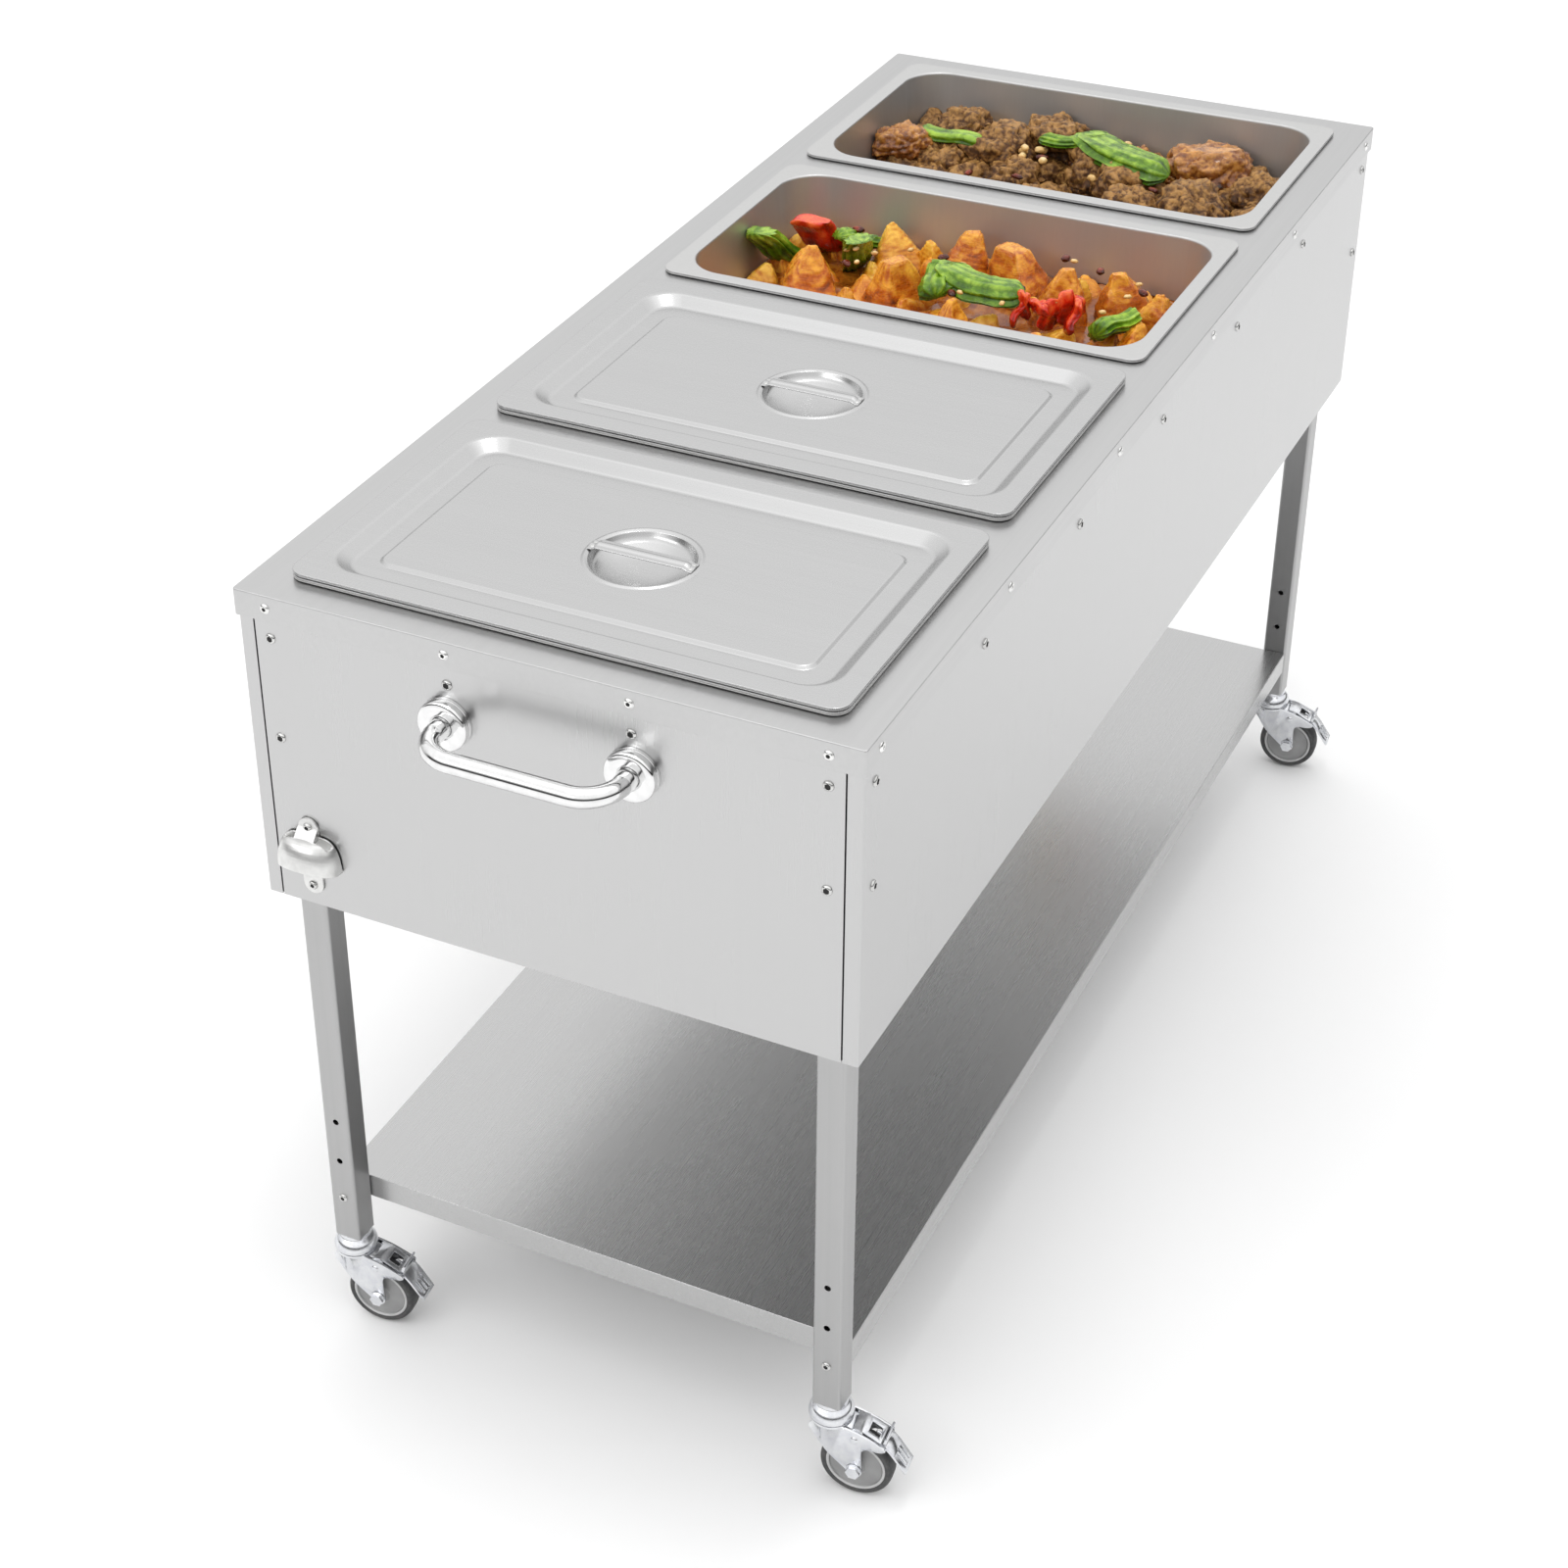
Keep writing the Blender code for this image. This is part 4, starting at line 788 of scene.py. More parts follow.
def make_strap(node, x, panel):
    """Grip strap: a ribbed strip that bridges the dish, its ends flattened on the bead."""
    base = panel + 0.0017
    section = soften([((-0.0085, 0.0, 0), 0.0005), ((-0.0081, 0.0014, 0), 0.0007),
                      ((-0.0040, 0.0014, 0), 0.0008), ((0.0, 0.0034, 0), 0.0022),
                      ((0.0040, 0.0014, 0), 0.0008), ((0.0081, 0.0014, 0), 0.0007),
                      ((0.0085, 0.0, 0), 0.0005), ((0.0040, 0.0003, 0), 0.0008),
                      ((0.0, 0.0020, 0), 0.0015), ((-0.0040, 0.0003, 0), 0.0008)], 3)
    stations = [(-STRAP_HALF, 0.0, 0.55), (-STRAP_HALF + 0.0045, 0.0002, 0.55),
                (-STRAP_HALF + 0.0085, 0.0016, 1.0)]
    stations += [(-y, lift, share) for y, lift, share in reversed(stations)]
    path = soften([(station, 0.0015) for station in stations[1:-1]], 4)
    path = [Vector(stations[0])] + path + [Vector(stations[-1])]
    rings = [[Vector((p.x, s.x, base + s.y + p.y * s.z)) for p in section] for s in path]
    strap = piece(f"{node}_strap_grip", loft_mesh(rings), LID_STEEL, (x, 0.0, 0.0), smooth=50)
    weld = turned([(0.0, 0.0004, 0), (0.0020, 0.0003, 0.0002), (0.0026, -0.0004, 0),
                   (0.0, -0.0004, 0)], 16)
    places = [(dx, side * (STRAP_HALF - 0.0035), base + 0.0011)
              for side in (-1, 1) for dx in (-0.0030, 0.0030)]
    welds = merged([(weld, Matrix.Translation(place)) for place in places])
    spots = piece(f"{node}_strap_welds", welds, CASTING, (x, 0.0, 0.0))
    hand_over(strap, node, "brushed_stainless", node.replace("lid_", "lid_strap_"))
    hand_over(spots, node, "brushed_stainless")


# ---- grab handle and bottle opener ---------------------------------------------------------------
HANDLE_TUBE = 0.0095
HANDLE_BEND = 0.034
COLLAR = 0.027                           # seam on each stub, out from the panel


def make_handle():
    wall = -CASING_HALF[0]
    place, half = middle("grab_handle"), half_size("grab_handle")
    reach_x = place.x - half.x + HANDLE_TUBE
    span = half.y - HANDLE_TUBE
    stub = [(wall - 0.0003, span), (wall - 0.0100, span)]
    bend = arc((reach_x + HANDLE_BEND, span - HANDLE_BEND), HANDLE_BEND, 90, 180, 22)
    path = [Vector((x, y, place.z)) for x, y in stub + bend]
    path += [Vector((p.x, -p.y, p.z)) for p in reversed(path)]
    radii = []
    for p in path:
        depth = wall - p.x
        groove = math.exp(-((depth - COLLAR) / 0.0011) ** 2) if abs(p.y) > span - 0.012 else 0.0
        radii.append(HANDLE_TUBE - 0.0005 * groove + (0.0002 if depth < COLLAR else 0.0))
    tube = piece("grab_handle_tube", sweep_mesh(path, radii, 40), POLISHED, smooth=50)
    hand_over(tube, "root", "polished_stainless", "grab_handle")
    for node in ("handle_rosette_front", "handle_rosette_rear"):
        depth, radius = 2 * half_size(node).x, half_size(node).y
        bore = HANDLE_TUBE + 0.0004
        mesh = turned([(bore, -0.0003, 0), (bore, -depth + 0.0020, 0.0004),
                       (bore + 0.0022, -depth + 0.0006, 0.0012), (radius - 0.0052, -depth, 0.0014),
                       (radius, -depth + 0.0012, 0.0034), (radius, -0.0045, 0.0004),
                       (radius - 0.0003, -0.0040, 0.0002), (radius, -0.0036, 0.0002),
                       (radius, -0.0003, 0)], 56, "x", 5)
        rosette = piece(f"{node}_cover", mesh, POLISHED, on_wall(-1, middle(node)), smooth=50)
        hand_over(rosette, "root", "polished_stainless", node)


HOOD = (0.026, 0.0325, 0.0335)           # reach, half width and height of the hood
HOOD_WALL = 0.0026
HOOD_MOUTH = -0.010
HOOD_ARCH = 0.0065                       # rise of the mouth's edge in the middle
PLATE = 0.0030
LUG_HALF = (0.0105, 0.0415)              # half width and half height of the opener's plate
SCREW_RISE = 0.0320                      # opener screws above and below the plate's middle
GRAIN = 0.00045                          # finest detail that the casting keeps


def hood_rings(inset, flat, extra):
    """Half bowl opening downwards, its lower edge arched up in the middle."""
    reach, half, height = (size - inset for size in HOOD)
    levels = [(-extra, 1.0, 1.0)] if extra else []
    for k in range(13):
        lift = math.radians(88 * k / 12)
        levels.append((height * math.sin(lift), math.cos(lift) ** 0.62, 1.0 - k / 12))
    rings = []
    for rise, share, low in levels:
        ring = []
        for sweep in (math.radians(6 * step) for step in range(31)):
            out = flat + (reach - flat) * share * max(math.sin(sweep), 0.0) ** 0.8
            ring.append(Vector((-out, half * (0.3 + 0.7 * share) * math.cos(sweep),
                                HOOD_MOUTH + rise + HOOD_ARCH * low * math.sin(sweep) ** 2)))
        rings.append(ring)
    return rings


def make_opener():
    """Cast wall opener: lugged plate, hood joined to it by a neck, and the tooth inside."""
    at = on_wall(-1, middle("bottle_opener"))
    half_y, half_z = LUG_HALF
    outline = [*arc((0.0, half_z - half_y), half_y, 0, 180, 20),
               *arc((0.0, -half_z + half_y), half_y, 180, 360, 20)]
    body = piece("bottle_opener_casting", prism_mesh(outline, -PLATE, -0.0003, "x"), CASTING, at)
    join(body, loft_mesh(hood_rings(0.0, 0.0012, 0.0)))
    neck = [(0.0125, -0.0020), (0.0315, -0.0020), (0.0315, -0.0040), (0.0190, -0.0155),
            (0.0120, -0.0180), (0.0120, -0.0040)]
    join(body, prism_mesh(neck, -half_y, half_y, "y"))
    boolean(body, loft_mesh(hood_rings(HOOD_WALL, PLATE + 0.0001, 0.012)))
    for side in (-1, 1):
        near, far = sorted((side * (half_y + 0.0003), side * 0.0260))
        boolean(body, box_mesh((-0.0105, near, 0.0165), (-PLATE - 0.0001, far, 0.0300)))
    for rise in (-SCREW_RISE, SCREW_RISE):
        boolean(body, rod_mesh(0.0022, -0.01, 0.01, 20, "x", (-PLATE, 0.0, rise)))
    tooth = [(-0.0005, -0.0072), (-0.0090, -0.0020), (0.0030, -0.0020)]
    join(body, prism_mesh(tooth, -0.0085, 0.0085, "y"))
    remesh = body.modifiers.new("Cast", "REMESH")
    remesh.mode = "VOXEL"
    remesh.voxel_size = GRAIN
    relax = body.modifiers.new("Relax", "SMOOTH")
    relax.factor = 0.5
    relax.iterations = 5
    settle(body)
    body.data.shade_smooth()
    body.data.materials.clear()
    body.data.materials.append(CASTING)
    hand_over(body, "root", "plated_casting", "bottle_opener")
    spots = [(at + Vector((-PLATE, 0.0, rise)), "-x") for rise in (-SCREW_RISE, SCREW_RISE)]
    socket_screws("opener_screws", 0.0046, 0.0026, 0.0022, spots)


# ---- controls ------------------------------------------------------------------------------------
KNOB_BORE = 0.0034
FLUTES = 24
TICK_RADIUS = 0.0236                     # inner end of the dial's marks
ROCKER_TILT = math.radians(9)
BEZEL_RIM = 0.0022


def make_knob():
    """Fluted thermostat knob with a raised pointer bar, and a printed dial plate behind it."""
    place = JOINTS["thermostat_turn"]["pos_m"]
    at = local(place)
    low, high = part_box("thermostat_knob")
    radius = (high.y - low.y) / 2
    face = high.x - place[0] - 0.0035
    socket = [(0.0, 0.0150), (KNOB_BORE, 0.0150), (KNOB_BORE, 0.0022)]
    outer = soft_outline([(KNOB_BORE, 0.0022, 0), (radius, 0.0022, 0.0006), (radius, 0.0062, 0.0012),
                          (radius - 0.0014, 0.0085, 0.0006), (radius - 0.0030, face, 0.0018),
                          (0.0, face, 0)], 4)[1:]
    mesh = lathe_mesh(socket + outer, 96, "x")
    for vertex in mesh.vertices:
        out = math.hypot(vertex.co.y, vertex.co.z)
        if out > radius - 0.0045 and 0.0080 < vertex.co.x < face - 0.0004:
            angle = math.atan2(vertex.co.z, vertex.co.y)
            pull = 1 - 0.0007 * (1 + math.cos(FLUTES * angle)) / out
            vertex.co.y *= pull
            vertex.co.z *= pull
    knob = piece("thermostat_knob_cap", mesh, BLACK_PLASTIC, at)
    join(knob, wall_box((face - 0.0045, face + 0.0034), 0.0034, radius - 0.0018))
    hand_over(edge_round(knob, 0.0006, 3, 50), "thermostat_knob", "black_plastic", "thermostat_knob")
    line = box_mesh((face + 0.0033, -0.0006, 0.0060), (face + 0.0035, 0.0006, radius - 0.0024))
    hand_over(piece("knob_pointer_line", line, DIAL_PRINT, at), "thermostat_knob", "black_plastic")
    plate = turned([(0.0052, 0.0003, 0), (0.0305, 0.0003, 0), (0.0305, 0.0011, 0.0004),
                    (0.0052, 0.0011, 0.0002)], 72, "x")
    dial = piece("thermostat_dial_plate", plate, CASING_STEEL, on_wall(1, at))
    hand_over(dial, "root", "casing_stainless")
    ticks = []
    for k in range(11):
        size = 0.0038 if k % 2 == 0 else 0.0024
        tick = box_mesh((0.0010, TICK_RADIUS, -0.0004), (0.0013, TICK_RADIUS + size, 0.0004))
        ticks.append((tick, Matrix.Rotation(math.radians(225 - 27 * k), 4, "X")))
    marks = piece("thermostat_dial_marks", merged(ticks), BLACK_PLASTIC, on_wall(1, at))
    hand_over(marks, "root", "black_plastic")


def make_switch():
    """Rocker switch: bezel and well in the panel, and a rocker dished on both halves."""
    at = on_wall(1, middle("power_switch_body"))
    _, bezel_y, bezel_z = half_size("power_switch_body")
    back = middle("power_switch_body").x - half_size("power_switch_body").x - at.x
    body = piece("power_switch_housing", wall_box((0.0003, 0.0020), bezel_y, bezel_z),
                 BLACK_PLASTIC, at)
    join(body, wall_box((back, 0.0016), bezel_y - BEZEL_RIM, bezel_z - BEZEL_RIM))
    well = BEZEL_RIM + 0.0016
    boolean(body, wall_box((-0.0105, 0.02), bezel_y - well, bezel_z - well))
    hand_over(edge_round(body, 0.0005, 3), "root", "black_plastic", "power_switch_body")
    pivot = local(JOINTS["power_rock"]["pos_m"])
    half = half_size("power_switch_rocker").y
    reach = bezel_z - BEZEL_RIM - 0.0026
    outline = [(-reach * 0.55, -0.0065), (reach * 0.55, -0.0065), (reach, 0.0016),
               (reach * 0.5, 0.0018), (0.0, 0.0034), (-reach * 0.5, 0.0018), (-reach, 0.0016)]
    spin = Matrix.Rotation(ROCKER_TILT, 2)
    mesh = prism_mesh([tuple(spin @ Vector(p)) for p in outline], -half, half, "y")
    rocker = edge_round(piece("power_switch_rocker_cap", mesh, BLACK_PLASTIC, pivot), 0.0006, 3, 8)
    hand_over(rocker, "switch_rocker", "black_plastic", "power_switch_rocker")
    low, high = 0.00175, 0.00205         # the printed signs' depth, out from the pivot
    bar = wall_box((low, high), 0.0004, 0.0012)
    ring = lathe_mesh([(0.0009, low), (0.0009, high), (0.0014, high), (0.0014, low)], 24, "x")
    slope = Matrix.Rotation(-ROCKER_TILT, 4, "Y")
    marks = [(mark, slope @ Matrix.Translation((0.0, 0.0, side * reach * 0.62)))
             for side, mark in ((1, bar), (-1, ring))]
    signs = piece("power_switch_signs", merged(marks), DIAL_PRINT, pivot)
    hand_over(signs, "switch_rocker", "black_plastic")


def make_lamp():
    at = on_wall(1, middle("pilot_lamp"))
    lens = turned([(0.0, -0.018, 0), (0.0049, -0.018, 0.0006), (0.0049, 0.0004, 0), (0.0052, 0.0004, 0),
                   (0.0052, 0.0046, 0.0012), (0.0034, 0.0068, 0.0022), (0.0, 0.0076, 0)], 36, "x", 5)
    hand_over(piece("pilot_lamp_lens", lens, RED_LENS, at, smooth=50), "root", "red_lens", "pilot_lamp")
    ring = turned([(0.0054, 0.0003, 0), (0.0074, 0.0003, 0), (0.0074, 0.0018, 0.0008),
                   (0.0062, 0.0030, 0.0008), (0.0054, 0.0030, 0.0003)], 36, "x", 4)
    hand_over(piece("pilot_lamp_bezel", ring, SCREW_STEEL, at), "root", "bright_zinc")


def make_inlet():
    """Power inlet: flange, housing behind the panel, chamfered socket, three pins and two screws."""
    at = on_wall(1, middle("power_inlet"))
    _, flange_y, flange_z = half_size("power_inlet")
    body_y, body_z = flange_y - 0.0080, flange_z - 0.0030
    back = middle("power_inlet").x - half_size("power_inlet").x - at.x
    outline = [(p.x, p.y) for p in rounded_rect(flange_y, flange_z, 0.0, 0.0040, 6)]
    inlet = piece("power_inlet_housing", prism_mesh(outline, 0.0003, 0.0025, "x"), BLACK_PLASTIC, at)
    join(inlet, wall_box((back, 0.0016), body_y, body_z))
    chamfer = 0.0045
    inner_y, inner_z = body_y - 0.0025, body_z - 0.0025
    socket = [(-inner_y, -inner_z), (inner_y, -inner_z), (inner_y, inner_z - chamfer),
              (inner_y - chamfer, inner_z), (-inner_y + chamfer, inner_z), (-inner_y, inner_z - chamfer)]
    boolean(inlet, prism_mesh(socket, -0.018, 0.02, "x"))
    hand_over(edge_round(inlet, 0.0004, 2), "root", "black_plastic", "power_inlet")
    blade = wall_box((-0.0185, -0.004), 0.0010, 0.0020)
    pins = merged([(blade, Matrix.Translation((0.0, y, z)))
                   for y, z in ((-0.0070, -0.0030), (0.0070, -0.0030), (0.0, 0.0040))])
    blades = piece("power_inlet_pins", pins, PIN_BRASS, at)
    hand_over(edge_round(blades, 0.0003, 2), "root", "valve_brass")
    spots = [(at + Vector((0.0025, side * (flange_y - 0.0042), 0.0)), "+x") for side in (-1, 1)]
    socket_screws("inlet_screws", 0.0028, 0.0012, 0.0013, spots)


# ---- drain ---------------------------------------------------------------------------------------
DRAIN_BORE = 0.0060
LEVER_START = 0.0223                     # lever's inner face, out along the valve's stem


def make_drain():
    """Ball valve under the tank: bored body with two bands of flats, stem, lever arm and nut."""
    pivot = local(JOINTS["drain_turn"]["pos_m"])
    low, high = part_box("drain_valve")
    top = high.z - pivot.z
    mouth = low.z - pivot.z
    mesh = turned([(0.0, -0.010, 0), (DRAIN_BORE, -0.010, 0), (DRAIN_BORE, mouth, 0.0005),
                   (0.0110, mouth, 0.0008), (0.0110, -0.0215, 0.0008), (0.0118, -0.0195, 0.0006),
                   (0.0163, -0.0150, 0.0020), (0.0163, 0.0150, 0.0020), (0.0118, 0.0188, 0.0008),
                   (0.0095, 0.0192, 0.0004), (0.0095, top, 0.0003), (DRAIN_BORE, top, 0.0003),
                   (DRAIN_BORE, 0.010, 0), (0.0, 0.010, 0)], 48, "z", 4)
    valve = piece("drain_valve_body", mesh, BRASS, pivot, smooth=50)
    collar = blank(prism_mesh(hexagon(0.0128), -0.0355, -0.0245), BRASS)
    boolean(collar, rod_mesh(0.0085, -0.04, -0.02, 40))
    join(valve, baked(collar))
    join(valve, prism_mesh(hexagon(0.0176), 0.0005, 0.0115))
    join(valve, rod_mesh(0.0070, 0.010, 0.0220, 32, "x"))
    hand_over(edge_round(valve, 0.0005, 2, 40), "root", "valve_brass", "drain_valve")
    outline = soft_outline([(0.0100, -0.0085, 0.006), (0.0100, 0.0085, 0.006), (-0.0550, 0.0085, 0.008),
                            (-0.0745, 0.0110, 0.004), (-0.0800, 0.0, 0.008),
                            (-0.0745, -0.0110, 0.004), (-0.0550, -0.0085, 0.008)], 5)
    lever = piece("drain_lever_arm", prism_mesh(outline, LEVER_START, LEVER_START + 0.0040, "x"),
                  LEVER_VINYL, pivot)
    hand_over(edge_round(lever, 0.0012, 3), "drain_lever", "lever_coating", "drain_lever")
    nut = prism_mesh(hexagon(0.0060), LEVER_START + 0.0041, LEVER_START + 0.0088, "x")
    nut = edge_round(piece("drain_lever_nut", nut, SCREW_STEEL, pivot), 0.0005, 2)
    hand_over(nut, "drain_lever", "bright_zinc")

# ---- casters -------------------------------------------------------------------------------------
TRAIL = 0.0275                           # axle behind the swivel axis
AXLE_Z = JOINTS["front_left_wheel_spin"]["pos_m"][2]
FORK_OUTER = 0.016                       # outer face of a fork plate from the middle
FORK_PLATE = 0.0022
CROWN = (0.0863, 0.0890)                 # the fork's crown, lower and upper face
PEDAL_PIN = (-0.027, 0.0755)             # y and z of the brake pedal's pin
PEDAL_HALF = 0.0120
WHEEL_RADIUS = 0.036


def fork_outline():
    """Side plate: nose under the dome, leg down to the axle boss, horn back over the wheel."""
    nose = soft_outline([(0.0, CROWN[1], 0), (0.0120, CROWN[1], 0.001), (0.0158, 0.0862, 0.003),
                         (0.0185, 0.0800, 0.004), (0.0112, 0.0700, 0.010), (0.0040, 0.0570, 0.010),
                         (-0.0060, 0.0462, 0.010), (-0.0180, 0.0365, 0)], 5)[1:-1]
    boss = arc((-TRAIL, AXLE_Z), 0.0082, -8, -172, 12)
    horn = soft_outline([(-0.0350, 0.0400, 0), (-0.0340, 0.0672, 0.0085), (-0.0530, 0.0672, 0.006),
                         (-0.0583, 0.0703, 0.0015), (-0.0572, 0.0735, 0.0020),
                         (-0.0356, 0.0836, 0.012), (-0.0200, 0.0875, 0.006),
                         (-0.0120, CROWN[1], 0)], 5)
    return nose + boss + horn + [(0.0, CROWN[1])]


def half_band(outer, z):
    """Half-round band, one sheet thick, that closes the fork's nose between its plates."""
    return [Vector((x, y, z)) for x, y in arc((0.0, 0.0), outer, 20, 160, 16)
            + arc((0.0, 0.0), outer - FORK_PLATE, 160, 20, 16)]


def side_plates(target, outline, inner, outer):
    """Joins a mirrored pair of flat plates to target, between two distances from its middle."""
    for side in (-1, 1):
        join(target, prism_mesh(outline, *sorted((side * inner, side * outer)), "x"))


def fork_mesh():
    crown = [(0.0054, CROWN[0]), (0.0210, CROWN[0]), (0.0210, CROWN[1]), (0.0054, CROWN[1])]
    fork = blank(lathe_mesh(crown, 48), ZINC)
    join(fork, loft_mesh([half_band(outer, z) for outer, z in
                          ((0.0172, 0.0700), (0.0190, 0.0790), (0.0209, 0.0878))]))
    side_plates(fork, fork_outline(), FORK_OUTER - FORK_PLATE, FORK_OUTER)
    web = [(-0.0100, 0.0886), (-0.0100, 0.0866), (-0.0205, 0.0836), (-0.0330, 0.0785),
           (-0.0330, 0.0805), (-0.0205, 0.0856)]
    join(fork, prism_mesh(web, -0.0108, 0.0108, "x"))
    join(fork, pin_mesh())
    boolean(fork, rod_mesh(0.0044, -0.03, 0.03, 32, "x", (0.0, -TRAIL, AXLE_Z)))
    return baked(fork, 0.00045)


def pin_mesh():
    """Pedal pin with a riveted head on each side plate."""
    face = FORK_OUTER
    mesh = turned([(0.0, -face - 0.0017, 0), (0.0030, -face - 0.0013, 0.0010), (0.0042, -face, 0),
                   (0.0020, -face, 0), (0.0020, face, 0), (0.0042, face, 0),
                   (0.0030, face + 0.0013, 0.0010), (0.0, face + 0.0017, 0)], 28, "x")
    mesh.transform(Matrix.Translation((0.0, *PEDAL_PIN)))
    return mesh


def pedal_mesh():
    """Pressed brake pedal: framed lid with a window, upstand tab, foot blade and side ears."""
    profile = ((-0.0250, 0.0880, 0.0006), (-0.0340, 0.0863, 0.0030), (-0.0536, 0.0752, 0.0020),
               (-0.0575, 0.0845, 0.0006), (-0.0594, 0.0838, 0.0006), (-0.0564, 0.0738, 0.0015),
               (-0.0630, 0.0675, 0.0050), (-0.0782, 0.0452, 0.0004), (-0.0764, 0.0440, 0.0004),
               (-0.0612, 0.0656, 0.0050), (-0.0545, 0.0722, 0.0015), (-0.0336, 0.0841, 0.0030),
               (-0.0250, 0.0858, 0.0006))
    outline = [(y - PEDAL_PIN[0], z - PEDAL_PIN[1]) for y, z in soft_outline(profile)]
    pedal = blank(prism_mesh(outline, -PEDAL_HALF, PEDAL_HALF, "x"), ZINC)
    ear = [(0.0048, -0.0022, 0.003), (0.0048, 0.0104, 0.001), (-0.0075, 0.0097, 0.001),
           (-0.0075, -0.0005, 0.002), (-0.0030, -0.0038, 0.002), (0.0020, -0.0038, 0.002)]
    side_plates(pedal, soft_outline(ear), 0.0114, 0.0134)
    boolean(pedal, rod_mesh(0.0024, -0.02, 0.02, 20, "x"))
    slope = math.atan2(0.0113, 0.0200)
    tilt = Matrix.Translation((0.0, -0.0170, 0.0048)) @ Matrix.Rotation(slope, 4, "X")
    window = loft_mesh([rounded_rect(0.0064, 0.0060, z, 0.0012, 4) for z in (-0.01, 0.01)])
    window.transform(tilt)
    boolean(pedal, window)
    tongue = box_mesh((-0.0012, -0.0075, -0.0012), (0.0012, -0.0010, 0.0006))
    tongue.transform(tilt)
    join(pedal, tongue)
    fall = math.atan2(0.0630 - 0.0782, 0.0675 - 0.0452)
    blade = (Matrix.Translation((0.0, -0.0709 - PEDAL_PIN[0], 0.0563 - PEDAL_PIN[1]))
             @ Matrix.Rotation(fall, 4, "X"))
    for offset in (-0.0060, 0.0, 0.0060):
        rib = box_mesh((offset - 0.0007, -0.0010, -0.0085), (offset + 0.0007, 0.0010, 0.0075))
        rib.transform(blade)
        join(pedal, rib)
    return baked(pedal, 0.0004)


def head_mesh():
    """Domed ball race with its rolled skirt, collar, kingpin and the riveted end below."""
    return turned([(0.0, 0.0830, 0), (0.0060, 0.0828, 0.0020), (0.0085, 0.0842, 0.0012),
                   (0.0085, 0.0860, 0), (0.0049, 0.0860, 0), (0.0049, 0.0895, 0),
                   (0.0208, 0.0895, 0.0004), (0.0222, 0.0912, 0.0012), (0.0219, 0.0950, 0.0022),
                   (0.0196, 0.1008, 0.0030), (0.0158, 0.1036, 0.0012), (0.0150, 0.1046, 0.0006),
                   (0.0145, 0.1083, 0.0003), (0.0, 0.1083, 0)], 56, "z", 5)


def cap_mesh():
    """Square plastic plug between the leg's end and the dome."""
    return loft_mesh([rounded_rect(0.0124, 0.0124, z, 0.0020, 4) for z in (0.1088, 0.1400)])


def twin_turned(half, segments, steps):
    """Turned shape with two equal sides, from the profile of the lower one."""
    mirrored = [(radius, -height, reach) for radius, height, reach in reversed(half)]
    return turned(half + mirrored, segments, "x", steps)


def wheel_meshes():
    """Hub body with recessed faces, the paler ring that the tyre is bonded to, and the tyre."""
    body = twin_turned([(0.0043, -0.0128, 0.0003), (0.0086, -0.0128, 0.0010),
                        (0.0098, -0.0085, 0.0016), (0.0252, -0.0080, 0.0008),
                        (0.0262, -0.0090, 0)], 72, 4)
    ring = twin_turned([(0.0266, -0.0070, 0), (0.0266, -0.0096, 0.0004), (0.0276, -0.0102, 0.0006),
                        (0.0294, -0.0100, 0.0004)], 72, 4)
    tyre = twin_turned([(0.0296, -0.0098, 0), (0.0320, -0.0110, 0.0012), (0.0348, -0.0098, 0.0020),
                        (WHEEL_RADIUS, -0.0058, 0.0030)], 96, 5)
    return body, ring, tyre


def axle_mesh():
    """Axle bolt: hexagon head with a washer face, and a nut on the thread's end."""
    face = FORK_OUTER + 0.0003
    shank = [(0.0, -face - 0.0036, 0), (0.0034, -face - 0.0036, 0.0006), (0.0040, -face - 0.0020, 0),
             (0.0040, face + 0.0056, 0.0006), (0.0, face + 0.0060, 0)]
    bolt = blank(turned(shank, 28, "x"), ZINC)
    for low, high in ((-face - 0.0046, -face - 0.0006), (face + 0.0006, face + 0.0046)):
        join(bolt, prism_mesh(hexagon(0.0072), low, high, "x"))
    for low, high in ((-face - 0.0007, -face), (face, face + 0.0007)):
        join(bolt, rod_mesh(0.0078, low, high, 36, "x"))
    return baked(bolt, 0.0004)


